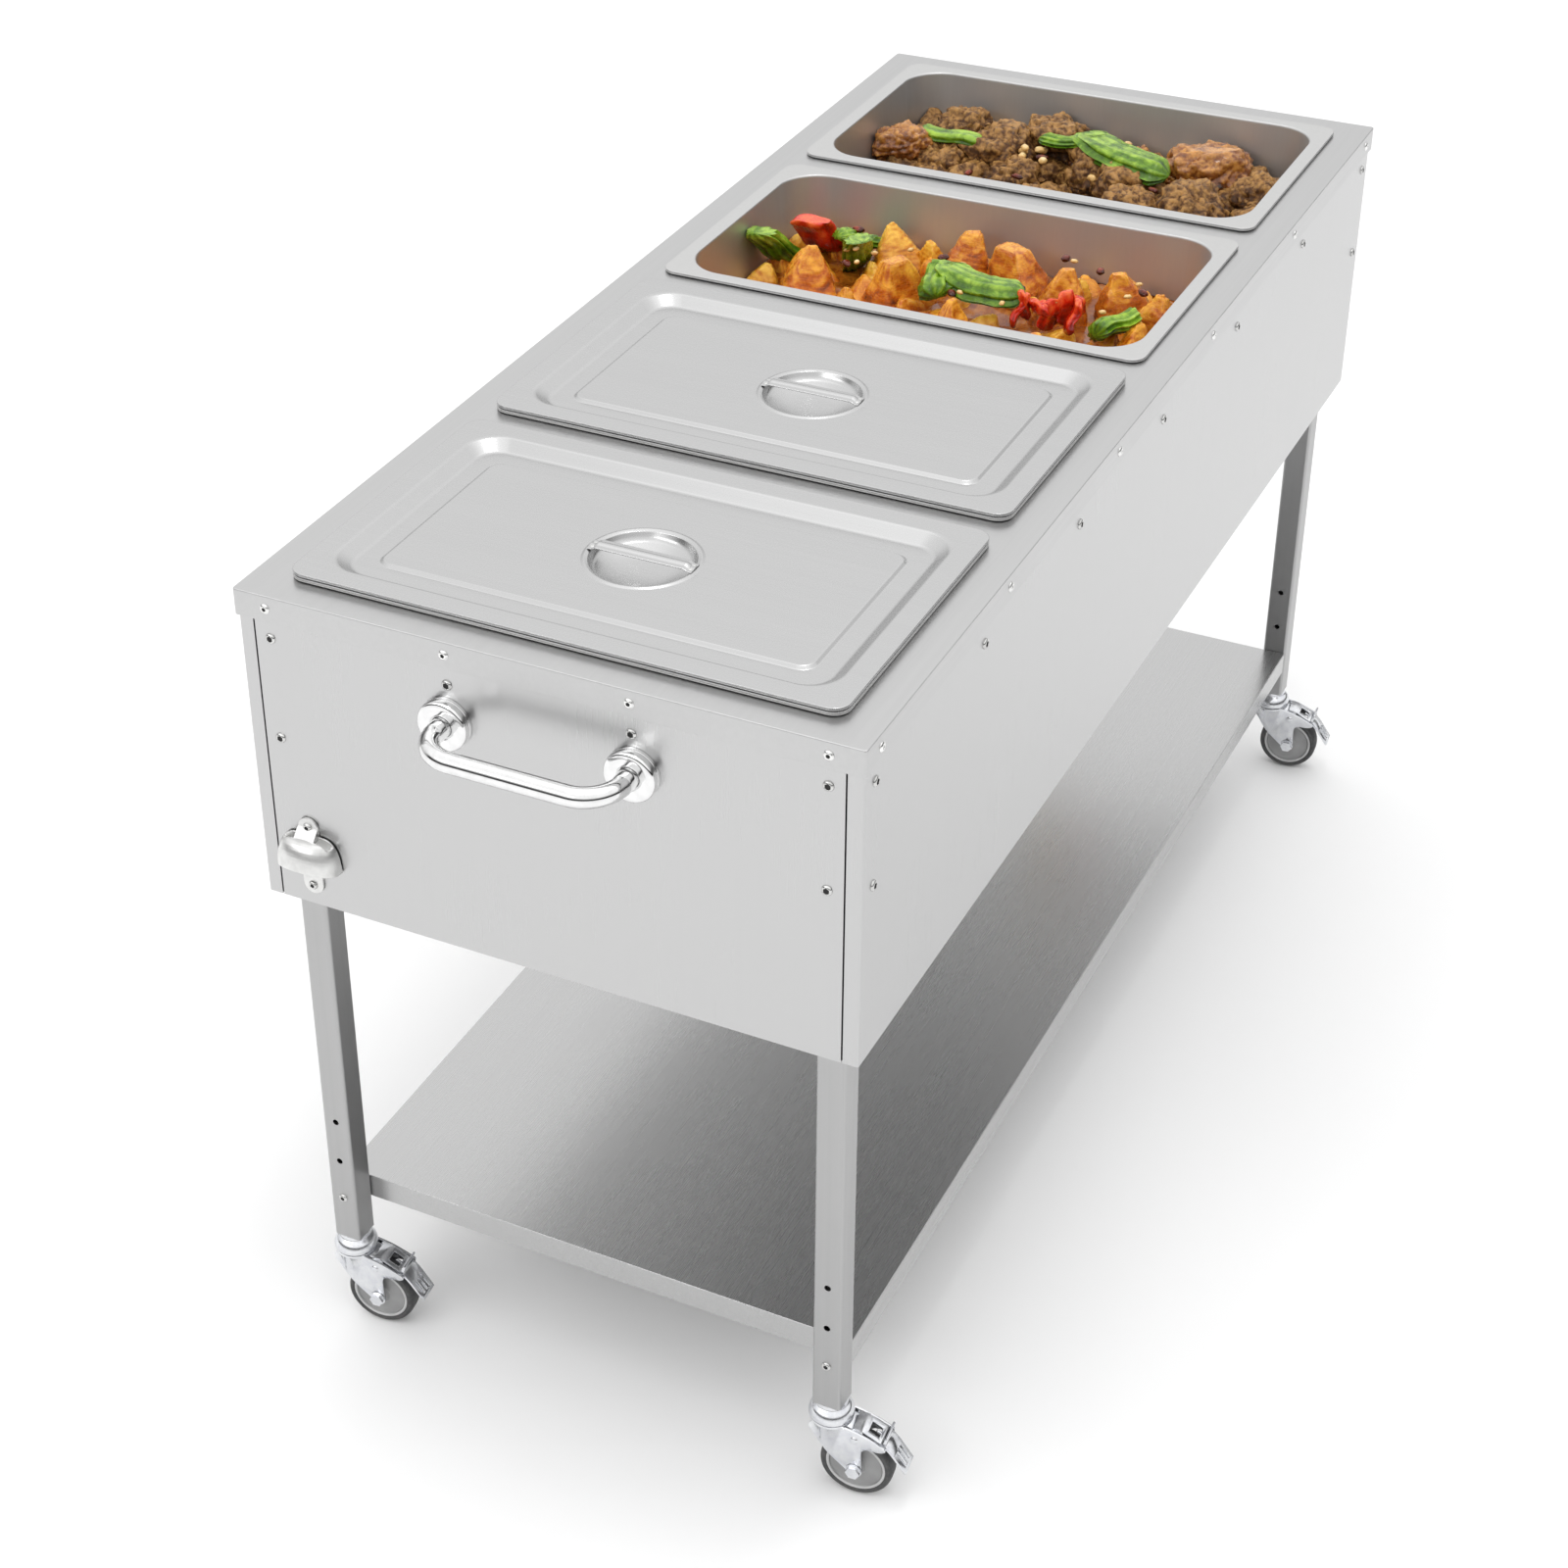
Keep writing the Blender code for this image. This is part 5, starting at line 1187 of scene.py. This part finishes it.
def make_casters():
    fork, pedal, head, cap = fork_mesh(), pedal_mesh(), head_mesh(), cap_mesh()
    hub, ring, tyre = wheel_meshes()
    axle = axle_mesh()
    for corner in CORNERS:
        swivel, wheel, press = (local(JOINTS[f"{corner}_{name}"]["pos_m"])
                                for name in ("swivel_turn", "wheel_spin", "brake_press"))
        axis = JOINTS[f"{corner}_wheel_spin"]["axis"]
        yaw = Matrix.Rotation(math.atan2(axis[1], axis[0]), 4, "Z")
        foot = (swivel.x, swivel.y, 0.0)
        rows = (("fork_pressing", fork, ZINC, foot, f"{corner}_swivel", "bright_zinc", "caster_fork"),
                ("axle_bolt_set", axle, ZINC, wheel, f"{corner}_swivel", "bright_zinc", "axle_bolt"),
                ("wheel_hub_disc", hub, HUB_PLASTIC, wheel, f"{corner}_wheel", "hub_plastic",
                 "wheel_hub"),
                ("wheel_hub_ring", ring, RING_PLASTIC, wheel, f"{corner}_wheel", "hub_plastic", None),
                ("tyre_tread", tyre, GREY_RUBBER, wheel, f"{corner}_wheel", "tyre_rubber", "tyre"),
                ("pedal_pressing", pedal, ZINC, press, f"{corner}_pedal", "bright_zinc",
                 "brake_pedal"),
                ("caster_dome", head, ZINC, foot, "root", "bright_zinc", "caster_head"),
                ("leg_plug", cap, BLACK_PLASTIC, foot, "root", "black_plastic", None))
        for label, mesh, look, at, body, slot, node in rows:
            nodes = (f"{corner}_{node}",) if node else ()
            hand_over(piece(f"{corner}_{label}", mesh, look, at, yaw), body, slot, *nodes)


# ---- CAD nodes that stay -------------------------------------------------------------------------
def finish_nodes():
    """Gives the CAD nodes that show their own finish."""
    looks = {"end_panel_left": CASING_STEEL, "end_panel_right": CASING_STEEL,
             "bottom_panel": BOTTOM_STEEL, "water_tank": TANK_STEEL, "heating_element": SHEATH,
             "tank_insulation": GLASS_WOOL, "thermostat": BLACK_PLASTIC}
    for node, look in looks.items():
        made = frame["nodes"][node]
        made.data.materials.clear()
        made.data.materials.append(look)


# ---- food ----------------------------------------------------------------------------------------
FOOD_FLOOR = RIM_TOP - PAN_DEPTH + 0.0006
FOOD_TOP = 0.853
WALL_GAP = 0.0012
BED_SIZE = (0.16, 0.26)                  # half length and half width of a sauce bed, before trimming
ORANGE = glaze("orange_glaze", ((0.16, (0.075, 0.011, 0.002)), (0.42, (0.52, 0.120, 0.005)),
                                (0.72, (0.92, 0.43, 0.040))), 0.22, (120.0, 120.0, 520.0), 0.0012)
AMBER = glaze("amber_glaze", ((0.14, (0.14, 0.028, 0.002)), (0.42, (0.62, 0.22, 0.008)),
                              (0.70, (0.95, 0.56, 0.07))), 0.26, (200.0, 200.0, 600.0), 0.0006)
GREEN = glaze("green_pepper", ((0.24, (0.020, 0.060, 0.002)), (0.47, (0.100, 0.220, 0.005)),
                               (0.72, (0.36, 0.56, 0.05))), 0.22, (60.0, 700.0, 700.0), 0.0005)
RED = glaze("red_pepper", ((0.26, (0.20, 0.005, 0.002)), (0.50, (0.62, 0.020, 0.004)),
                           (0.74, (0.85, 0.14, 0.03))), 0.16, (90.0, 300.0, 300.0), 0.0004)
MEAT = glaze("braised_meat", ((0.28, (0.009, 0.003, 0.001)), (0.50, (0.095, 0.036, 0.008)),
                              (0.76, (0.44, 0.23, 0.070))), 0.40, (300.0, 460.0, 300.0), 0.0016,
             0.10, 120.0)
MEAT_GLOSS = glaze("glossy_meat", ((0.26, (0.030, 0.008, 0.002)), (0.50, (0.22, 0.065, 0.010)),
                                   (0.78, (0.62, 0.28, 0.06))), 0.20, (120.0, 320.0, 320.0), 0.0009,
                   0.7, 80.0)
NUT = glaze("peanut", ((0.30, (0.50, 0.26, 0.07)), (0.55, (0.74, 0.48, 0.18)),
                       (0.75, (0.88, 0.70, 0.38))), 0.30, (300.0, 300.0, 300.0), 0.0003)
CHILLI = glaze("dried_chilli", ((0.30, (0.020, 0.006, 0.003)), (0.55, (0.10, 0.012, 0.005)),
                                (0.75, (0.30, 0.040, 0.010))), 0.16, (150.0, 150.0, 150.0), 0.0003)
SAUCE_ORANGE = glaze("orange_sauce", ((0.28, (0.07, 0.011, 0.002)), (0.52, (0.24, 0.052, 0.005)),
                                      (0.74, (0.48, 0.16, 0.014))), 0.14, (70.0, 70.0, 70.0),
                     0.0012, 0.8)
SAUCE_BROWN = glaze("brown_sauce", ((0.28, (0.008, 0.004, 0.002)), (0.52, (0.042, 0.018, 0.006)),
                                    (0.74, (0.13, 0.060, 0.018))), 0.14, (70.0, 70.0, 70.0),
                    0.0012, 0.8)


def ball(level):
    """Points and triangles of a unit ball."""
    bm = bmesh.new()
    bmesh.ops.create_icosphere(bm, subdivisions=level, radius=1.0)
    points = [v.co.copy() for v in bm.verts]
    faces = [tuple(v.index for v in f.verts) for f in bm.faces]
    bm.free()
    return points, faces


FINE_BALL = ball(5)
PLAIN_BALL = ball(4)
SMALL_BALL = ball(3)


def in_pan(point):
    """Keeps a point of the food off the pan's walls, above its floor and below its top level."""
    z = min(max(point.z, FOOD_FLOOR), FOOD_TOP)
    share = (z - FOOD_FLOOR) / PAN_DEPTH
    half_x, half_y, radius = (a + (b - a) * share for a, b in zip(FLOOR, MOUTH))
    half_x -= WALL_GAP
    half_y -= WALL_GAP
    x = max(-half_x, min(half_x, point.x))
    y = max(-half_y, min(half_y, point.y))
    over_x = abs(x) - (half_x - radius)
    over_y = abs(y) - (half_y - radius)
    reach = math.hypot(over_x, over_y)
    if over_x > 0 and over_y > 0 and reach > radius:
        x = math.copysign(half_x - radius + over_x * radius / reach, x)
        y = math.copysign(half_y - radius + over_y * radius / reach, y)
    return Vector((x, y, z))


FOOT_SHADE = 0.20                         # painted shade: how much paler a chunk is painted at its top than at its foot
# painted shade: how much darker rib grooves and pits are painted than rib crests
RIB_SHADE = 0.08
# painted shade: how much darker creases are painted than knobs on the meat
CREASE_SHADE = 0.10


class Serving:
    """Food of one look in one pan, gathered as one mesh whose points keep their chunk's space and their
    painted shade.
    """

    def __init__(self):
        self.points = []
        self.spaces = []
        self.shade_tints = []
        self.faces = []

    def add(self, shape, at, turn=(0.0, 0.0, 0.0), seed=0):
        """Places a shape (points, faces and painted shade tints) by its middle and its turn in degrees.
        """
        points, faces, shade_tints = shape
        spin = Euler([math.radians(a) for a in turn]).to_matrix()
        shift = Vector((0.37, 0.61, 0.83)) * (seed + 1)
        start = len(self.points)
        turned_points = [spin @ p for p in points]
        reach = max(p.z for p in turned_points)
        self.points += [in_pan(p + Vector(at)) for p in turned_points]
        self.spaces += [p + shift for p in points]
        # painted shade: each point's tint plus a darkening towards its chunk's foot and a lightening
        # towards its top
        self.shade_tints += [shade_tint + FOOT_SHADE * (min(max(p.z / reach, -1.0), 1.0) - 0.35)
                         for p, shade_tint in zip(turned_points, shade_tints)]
        self.faces += [tuple(i + start for i in face) for face in faces]

    def serve(self, name, look, pan, slot, *nodes):
        mesh = bpy.data.meshes.new(name)
        mesh.from_pydata(self.points, [], self.faces)
        space = mesh.attributes.new("chunk", "FLOAT_VECTOR", "POINT")
        space.data.foreach_set("vector", [c for p in self.spaces for c in p])
        # stores each point's painted shade for the glaze's colour ramp
        shade_tint = mesh.attributes.new("shade_tint", "FLOAT", "POINT")
        shade_tint.data.foreach_set("value", self.shade_tints)
        made = piece(name, mesh, look, (middle(pan).x, 0.0, 0.0), smooth=75)
        hand_over(made, pan, slot, *nodes)


def scaled(point, size):
    return Vector((point.x * size[0], point.y * size[1], point.z * size[2]))


def random_offset(rng):
    return Vector([rng.uniform(0, 50) for _ in range(3)])


def squared(point, power):
    """A ball's point pushed out towards a cube's corners."""
    size = sum(abs(c) ** power for c in point) ** (1 / power)
    return point / size


def wedge(rng, size, base=PLAIN_BALL):
    """Cut chunk of vegetable: three-sided, drawn up to a ridge, with fine ribs round it."""
    points, faces = base
    offset = random_offset(rng)
    lean = rng.uniform(-0.25, 0.25)
    made, shade_tints = [], []
    for p in points:
        q = squared(p, 5.5)
        rise = (q.z + 1) / 2
        q.x = q.x * (1 - 0.90 * rise ** 1.05) + lean * rise
        q.y *= 1 - 0.84 * rise ** 1.5
        q *= 1 + 0.12 * noise.fractal(q * 1.1 + offset, 0.9, 2.0, 3)
        at = scaled(q, size)
        rib = math.sin(at.z * 1300 + 3.0 * noise.noise(at * 60 + offset))
        grit = noise.noise(at * 330 + offset)
        made.append(at + p * (0.00050 * rib + 0.0006 * grit))
        # painted shade: rib grooves and pits darker, rib crests paler
        shade_tints.append(RIB_SHADE * rib + 0.5 * RIB_SHADE * grit)
    return made, faces, shade_tints


def meat_chunk(rng, size, base=PLAIN_BALL):
    """Braised chunk: lumpy, with a coarse net of short creases."""
    points, faces = base
    offset = random_offset(rng)
    made, shade_tints = [], []
    for p in points:
        q = squared(p, 2.7)
        q *= 1 + 0.30 * noise.fractal(q * 1.2 + offset, 0.9, 2.0, 3)
        at = scaled(q, size)
        knob = abs(noise.noise(at * 150 + offset)) * 2.4 + abs(noise.noise(at * 330 + offset))
        made.append(at + p * (0.0024 * knob - 0.0014))
        # painted shade: creases darker, knobs paler
        shade_tints.append(CREASE_SHADE * (1.6 * knob - 0.75))
    return made, faces, shade_tints


def pepper_strip(rng, length, width, bend, ridges=5):
    """Curved strip of pepper: a ridged, hollow-backed slice that tapers to both ends."""
    steps, sides = 44, 36
    points = [Vector((-length / 2, 0, 0))]
    shade_tints = [0.0]
    radius = length / max(abs(bend), 0.05)
    phase = rng.uniform(0, 6)
    for i in range(1, steps):
        t = i / steps
        body = min(1.0, 1.9 * math.sin(math.pi * t) ** 0.55)
        angle = bend * (t - 0.5)
        centre = Vector((radius * math.sin(angle), radius * (1 - math.cos(angle)), 0))
        out = Vector((-math.sin(angle), math.cos(angle), 0))
        for k in range(sides):
            a = 2 * math.pi * k / sides
            ridge = 1 + 0.13 * math.cos(ridges * 2 * a + phase) + 0.10 * noise.noise(
                Vector((t * 7 + phase, a, 3.0)))
            across = width / 2 * body * ridge * math.cos(a)
            rise = width * 0.30 * body * ridge * math.sin(a)
            if math.sin(a) < 0:
                rise *= 0.55
            points.append(centre + out * across + Vector((0, 0, rise + 0.0015 * math.cos(9 * t))))
            # painted shade: ridge crests paler, grooves between them darker
            shade_tints.append(0.6 * (ridge - 1))
    points.append(Vector((radius * math.sin(bend / 2), radius * (1 - math.cos(bend / 2)), 0)))
    shade_tints.append(0.0)
    faces = [(0, 1 + (k + 1) % sides, 1 + k) for k in range(sides)]
    for i in range(steps - 2):
        for k in range(sides):
            j = (k + 1) % sides
            a, b = 1 + i * sides, 1 + (i + 1) * sides
            faces.append((a + k, a + j, b + j, b + k))
    last, start = len(points) - 1, 1 + (steps - 2) * sides
    faces += [(last, start + k, start + (k + 1) % sides) for k in range(sides)]
    return points, faces, shade_tints


def bit(rng, size):
    """Small rounded scrap: chilli ring, nut half or garlic."""
    points, faces = SMALL_BALL
    offset = Vector((rng.uniform(0, 50), 0, 0))
    made = [scaled(p, size) * (1 + 0.22 * noise.noise(p * 1.6 + offset)) for p in points]
    return made, faces, [0.0] * len(made)


def sauce_bed(seed):
    """Sauce and chopped vegetable that fill the pan up under the chunks."""
    rows, columns = 70, 44
    points, faces = [], []
    for r in range(rows + 1):
        for c in range(columns + 1):
            u, v = c / columns * 2 - 1, r / rows * 2 - 1
            x, y = u * BED_SIZE[0], v * BED_SIZE[1]
            lump = noise.fractal(Vector((x * 28, y * 28, seed)), 0.9, 2.0, 4)
            points.append(Vector((x, y, BED_LEVEL + 0.006 * lump)))
    size = len(points)
    points += [Vector((p.x, p.y, FOOD_FLOOR)) for p in points]
    wide = columns + 1
    for r in range(rows):
        for c in range(columns):
            a = r * wide + c
            faces.append((a, a + 1, a + 1 + wide, a + wide))
            faces.append((size + a + wide, size + a + 1 + wide, size + a + 1, size + a))
    rim = ([c for c in range(wide)] + [r * wide + columns for r in range(1, rows + 1)]
           + [rows * wide + c for c in range(columns - 1, -1, -1)]
           + [r * wide for r in range(rows - 1, 0, -1)])
    for a, b in zip(rim, rim[1:] + rim[:1]):
        faces.append((a, size + a, size + b, b))
    return points, faces, [0.0] * len(points)


def scattered(rng):
    """Places on a jittered grid over the pan's floor."""
    return [(i * SPACING + rng.uniform(-0.3, 0.3) * SPACING,
             j * SPACING + rng.uniform(-0.3, 0.3) * SPACING)
            for i in range(-GRID[0], GRID[0] + 1) for j in range(-GRID[1], GRID[1] + 1)]


def filling(rng):
    """Chunks that fill a pan up to the ones on view: number, size, place and turn of each."""
    for seed, (x, y) in enumerate(scattered(rng), 20):
        size = rng.uniform(0.022, 0.028)
        turn = (rng.uniform(-40, 40), rng.uniform(-40, 40), rng.uniform(0, 180))
        yield seed, size, (x, y, FILL_LEVEL), turn


def any_place(rng, *ranges):
    return tuple(rng.uniform(low, high) for low, high in ranges)


def sprinkle(rng, count, ranges, kinds):
    """Small bits at random places, of kinds (serving, size) taken in turn."""
    for seed in range(count):
        serving, size = kinds[seed % len(kinds)]
        at = any_place(rng, *ranges)
        serving.add(bit(rng, size), at, (0, 0, rng.uniform(0, 180)), seed)


def serve_bed(name, seed, look, pan, slot):
    bed = Serving()
    bed.add(sauce_bed(seed), (0.0, 0.0, 0.0))
    bed.serve(name, look, pan, slot)


SPACING = 0.056                          # between the chunks that fill a pan up
GRID = (2, 4)                            # rows of them each way from the pan's middle
BED_LEVEL = 0.798
FILL_LEVEL = 0.796
ORANGE_WEDGES = (                        # x, y, middle's height, turn about z, lean, size
    (0.098, 0.020, 0.826, 20, 10, 0.028), (0.078, -0.040, 0.824, -20, -8, 0.040),
    (0.055, -0.105, 0.814, 20, 8, 0.033), (0.066, -0.170, 0.816, 35, -12, 0.034),
    (0.040, -0.214, 0.812, -15, 6, 0.031), (-0.005, 0.165, 0.808, 35, 6, 0.036),
    (0.005, 0.065, 0.814, 60, -8, 0.042), (-0.060, -0.020, 0.806, 80, 6, 0.034),
    (-0.020, -0.215, 0.802, 50, 10, 0.030), (-0.065, 0.100, 0.804, -60, 6, 0.033),
    (-0.080, -0.130, 0.802, 15, -6, 0.032), (-0.095, 0.190, 0.798, 100, 8, 0.030))
AMBER_WEDGES = ((0.098, 0.105, 0.814, 35, -8, 0.034), (0.108, 0.065, 0.808, -30, 6, 0.026),
                (0.105, -0.100, 0.798, 60, 6, 0.026), (0.105, 0.165, 0.796, 10, 5, 0.026))
MEAT_CHUNKS = (                          # x, y, middle's height, turn about z, size
    (0.092, 0.165, 0.820, 20, 0.032), (0.050, 0.105, 0.818, -15, 0.036),
    (0.098, 0.050, 0.824, 10, 0.034), (0.020, 0.165, 0.804, 30, 0.029),
    (0.000, 0.065, 0.808, 70, 0.029), (0.055, -0.020, 0.812, 5, 0.033),
    (0.020, -0.062, 0.811, 40, 0.033), (-0.030, -0.085, 0.806, 60, 0.033),
    (-0.015, -0.155, 0.810, 80, 0.038), (0.050, -0.216, 0.812, 10, 0.031),
    (-0.070, 0.010, 0.803, 25, 0.032), (-0.075, 0.110, 0.802, 0, 0.033),
    (-0.085, 0.190, 0.800, 50, 0.031), (-0.090, -0.200, 0.799, 15, 0.030))
GLOSSY_CHUNKS = ((0.085, -0.140, 0.820, 35, 0.042), (0.070, -0.090, 0.814, -40, 0.025),
                 (0.010, 0.220, 0.822, 10, 0.030), (0.085, 0.000, 0.816, 15, 0.024),
                 (0.105, -0.040, 0.800, 70, 0.026))


GREEN_STRIPS = (                         # x, y, middle's height, turn, length, width, bend
    (0.030, 0.222, 0.826, (25, -42, 150), 0.086, 0.040, 0.3),
    (0.050, 0.132, 0.830, (30, -48, 205), 0.092, 0.034, 0.4),
    (0.092, 0.150, 0.824, (10, -25, 150), 0.066, 0.030, 0.3),
    (-0.008, -0.030, 0.842, (28, 4, 258), 0.112, 0.036, 1.2),
    (0.000, 0.016, 0.838, (20, 16, 190), 0.056, 0.036, 0.5),
    (-0.010, -0.188, 0.828, (30, 10, 140), 0.056, 0.042, 0.3))


def make_orange_food():
    pan, slot = "pan_3", "glazed_wedges"
    rng = random.Random(31)
    orange, amber, green, red, dark, pale = (Serving() for _ in range(6))
    for seed, (x, y, z, yaw, lean, size) in enumerate(ORANGE_WEDGES):
        shape = wedge(rng, (size * 1.0, size * 1.05, size * 1.25), FINE_BALL)
        orange.add(shape, (x, y, z), (lean, lean * 0.6, yaw), seed)
    for seed, (x, y, z, yaw, lean, size) in enumerate(AMBER_WEDGES):
        amber.add(wedge(rng, (size * 0.9, size, size), FINE_BALL), (x, y, z), (lean, -lean, yaw), seed)
    for seed, size, at, turn in filling(rng):
        serving = orange if rng.random() < 0.7 else amber
        serving.add(wedge(rng, (size, size * 1.1, size * 0.9)), at, turn, seed)
    orange.serve("orange_wedge_heap", ORANGE, pan, slot, "orange_wedges")
    amber.serve("amber_wedge_heap", AMBER, pan, slot)
    serve_bed("orange_sauce_bed", 4.0, SAUCE_ORANGE, pan, slot)
    for seed, (x, y, z, turn, length, width, bend) in enumerate(GREEN_STRIPS):
        green.add(pepper_strip(rng, length, width, bend), (x, y, z), turn, seed)
    green.serve("green_pepper_strips", GREEN, pan, slot)
    red.add(pepper_strip(rng, 0.070, 0.044, 0.3, 2), (0.075, 0.190, 0.830), (20, -50, 160), 1)
    for seed in range(3, 12):
        at = any_place(rng, (-0.025, 0.020), (-0.145, -0.080), (0.822, 0.836))
        turn = any_place(rng, (0, 90), (0, 90), (0, 180))
        red.add(pepper_strip(rng, 0.040, 0.019, 0.8, 2), at, turn, seed)
    red.serve("red_pepper_pieces", RED, pan, slot)
    chilli, garlic = ((size * 1.5, size, size * 0.8) for size in (0.0045, 0.0028))
    sprinkle(rng, 26, ((-0.04, 0.10), (-0.20, 0.16), (0.828, 0.846)),
             ((dark, chilli), (pale, garlic), (pale, garlic)))
    dark.serve("dried_chilli_bits", CHILLI, pan, slot)
    pale.serve("garlic_bits", NUT, pan, slot)


def make_beef_food():
    pan, slot = "pan_4", "braised_meat"
    rng = random.Random(47)
    plain, glossy, green, nuts, dark = (Serving() for _ in range(5))
    for seed, (x, y, z, yaw, size) in enumerate(MEAT_CHUNKS):
        plain.add(meat_chunk(rng, (size, size * 1.05, size * 0.9), FINE_BALL), (x, y, z),
                  (rng.uniform(-15, 15), rng.uniform(-15, 15), yaw), seed)
    for seed, (x, y, z, yaw, size) in enumerate(GLOSSY_CHUNKS):
        glossy.add(meat_chunk(rng, (size * 0.7, size * 1.2, size * 0.8), FINE_BALL), (x, y, z),
                   (rng.uniform(-25, 25), rng.uniform(-15, 15), yaw), seed)
    for seed, size, at, turn in filling(rng):
        plain.add(meat_chunk(rng, (size, size * 1.1, size * 0.9)), at, turn, seed)
    plain.serve("meat_heap", MEAT, pan, slot, "braised_beef")
    glossy.serve("glossy_meat_pieces", MEAT_GLOSS, pan, slot)
    serve_bed("brown_sauce_bed", 9.0, SAUCE_BROWN, pan, slot)
    green.add(pepper_strip(rng, 0.086, 0.024, 0.1, 2), (0.030, 0.160, 0.838), (5, 0, 268), 1)
    green.add(pepper_strip(rng, 0.140, 0.044, 0.7), (0.040, -0.045, 0.842), (14, 6, 246), 2)
    green.add(pepper_strip(rng, 0.090, 0.024, 0.9), (0.060, 0.015, 0.844), (0, -4, 285), 3)
    green.serve("green_pepper_pieces", GREEN, pan, slot)
    sprinkle(rng, 16, ((-0.02, 0.11), (-0.06, 0.08), (0.828, 0.842)),
             ((nuts, (0.0062, 0.0045, 0.0040)),))
    sprinkle(rng, 10, ((-0.04, 0.09), (-0.18, 0.12), (0.822, 0.838)),
             ((dark, (0.0075, 0.0038, 0.0030)),))
    nuts.serve("peanuts", NUT, pan, slot)
    dark.serve("chilli_bits", CHILLI, pan, slot)


# ---- the model -----------------------------------------------------------------------------------
for make in (make_deck, make_side_panels, make_shelf, make_legs, make_fasteners, make_pans, make_lids,
             make_handle, make_opener, make_knob, make_switch, make_lamp, make_inlet, make_drain,
             make_casters, make_orange_food, make_beef_food, finish_nodes):
    make()

# ---- camera and studio ---------------------------------------------------------------------------
scene = bpy.context.scene
eye = bpy.data.cameras.new("eye")
eye.lens = 66.85
eye.sensor_width = 36.0
eye.shift_x = 0.0682
eye.shift_y = -0.0420
eye.clip_end = 50.0
eye.dof.use_dof = False
camera = bpy.data.objects.new("eye", eye)
scene.collection.objects.link(camera)
FORWARD = Vector((0.74701, 0.38786, -0.53994))
ROLL_ANGLE = math.radians(-1.08)
camera.matrix_world = (Matrix.Translation((-2.4746, -1.0263, 2.1255))
                       @ FORWARD.to_track_quat("-Z", "Y").to_matrix().to_4x4()
                       @ Matrix.Rotation(ROLL_ANGLE, 4, "Z"))
scene.camera = camera


def soft_light(name, place, target, size, power):
    data = bpy.data.lights.new(name, "AREA")
    data.shape = "RECTANGLE"
    data.size, data.size_y = size
    data.energy = power
    lamp = bpy.data.objects.new(name, data)
    scene.collection.objects.link(lamp)
    away = Vector(target) - Vector(place)
    lamp.matrix_world = Matrix.Translation(place) @ away.to_track_quat("-Z", "Y").to_matrix().to_4x4()


def studio():
    """Pale floor and sky, soft lights, and a dark curtain low down that only reflections show."""
    floor = Look("studio_floor", (0.96, 0.96, 0.96), 0.9)
    haze = floor.noise(0.6, 2.0)
    floor.colour(floor.blend(floor.remap(haze, 0.0, 1.0), (0.96, 0.96, 0.96), (0.94, 0.94, 0.94)))
    ground = piece("studio_floor", box_mesh((-20, -20, -0.02), (20, 20, -0.0005)),
                   floor.material, layout=False)
    world = bpy.data.worlds.new("studio")
    world.use_nodes = True
    scene.world = world
    background = world.node_tree.nodes["Background"]
    background.inputs["Strength"].default_value = 1.0
    nodes = Nodes(world.node_tree)
    way = nodes.node("ShaderNodeSeparateXYZ",
                     Vector=nodes.node("ShaderNodeTexCoord").outputs["Generated"]).outputs
    sky = nodes.ramp(way["Z"], ((0.0, 0.55), (0.30, 1.00), (0.52, 1.20), (0.80, 1.24)))
    low_band = nodes.ramp(way["Z"], ((0.0, 1.0), (0.20, 1.0), (0.36, 0.0)))
    near_side = nodes.remap(nodes.combine("MINIMUM", way["X"], way["Y"]), 0.0, 1.0, -0.15, -0.40)
    curtain = nodes.blend(nodes.combine("MULTIPLY", low_band, near_side), sky, (0.05, 0.05, 0.05))
    seen = nodes.node("ShaderNodeLightPath").outputs["Is Camera Ray"]
    nodes.feed(nodes.blend(seen, curtain, (1.0, 1.0, 1.0)), background.inputs["Color"])
    soft_light("overhead", (-0.4, -0.2, 4.6), (0.0, 0.0, 0.0), (4.5, 4.5), 20)
    soft_light("spark", (-0.2, -0.4, 4.4), (0.0, 0.0, 0.8), (0.6, 0.6), 14)
    soft_light("strip", (-3.6, 1.6, 2.95), (-0.6, 0.0, 0.85), (3.6, 0.6), 24)


studio()
scene.view_settings.view_transform = "Standard"
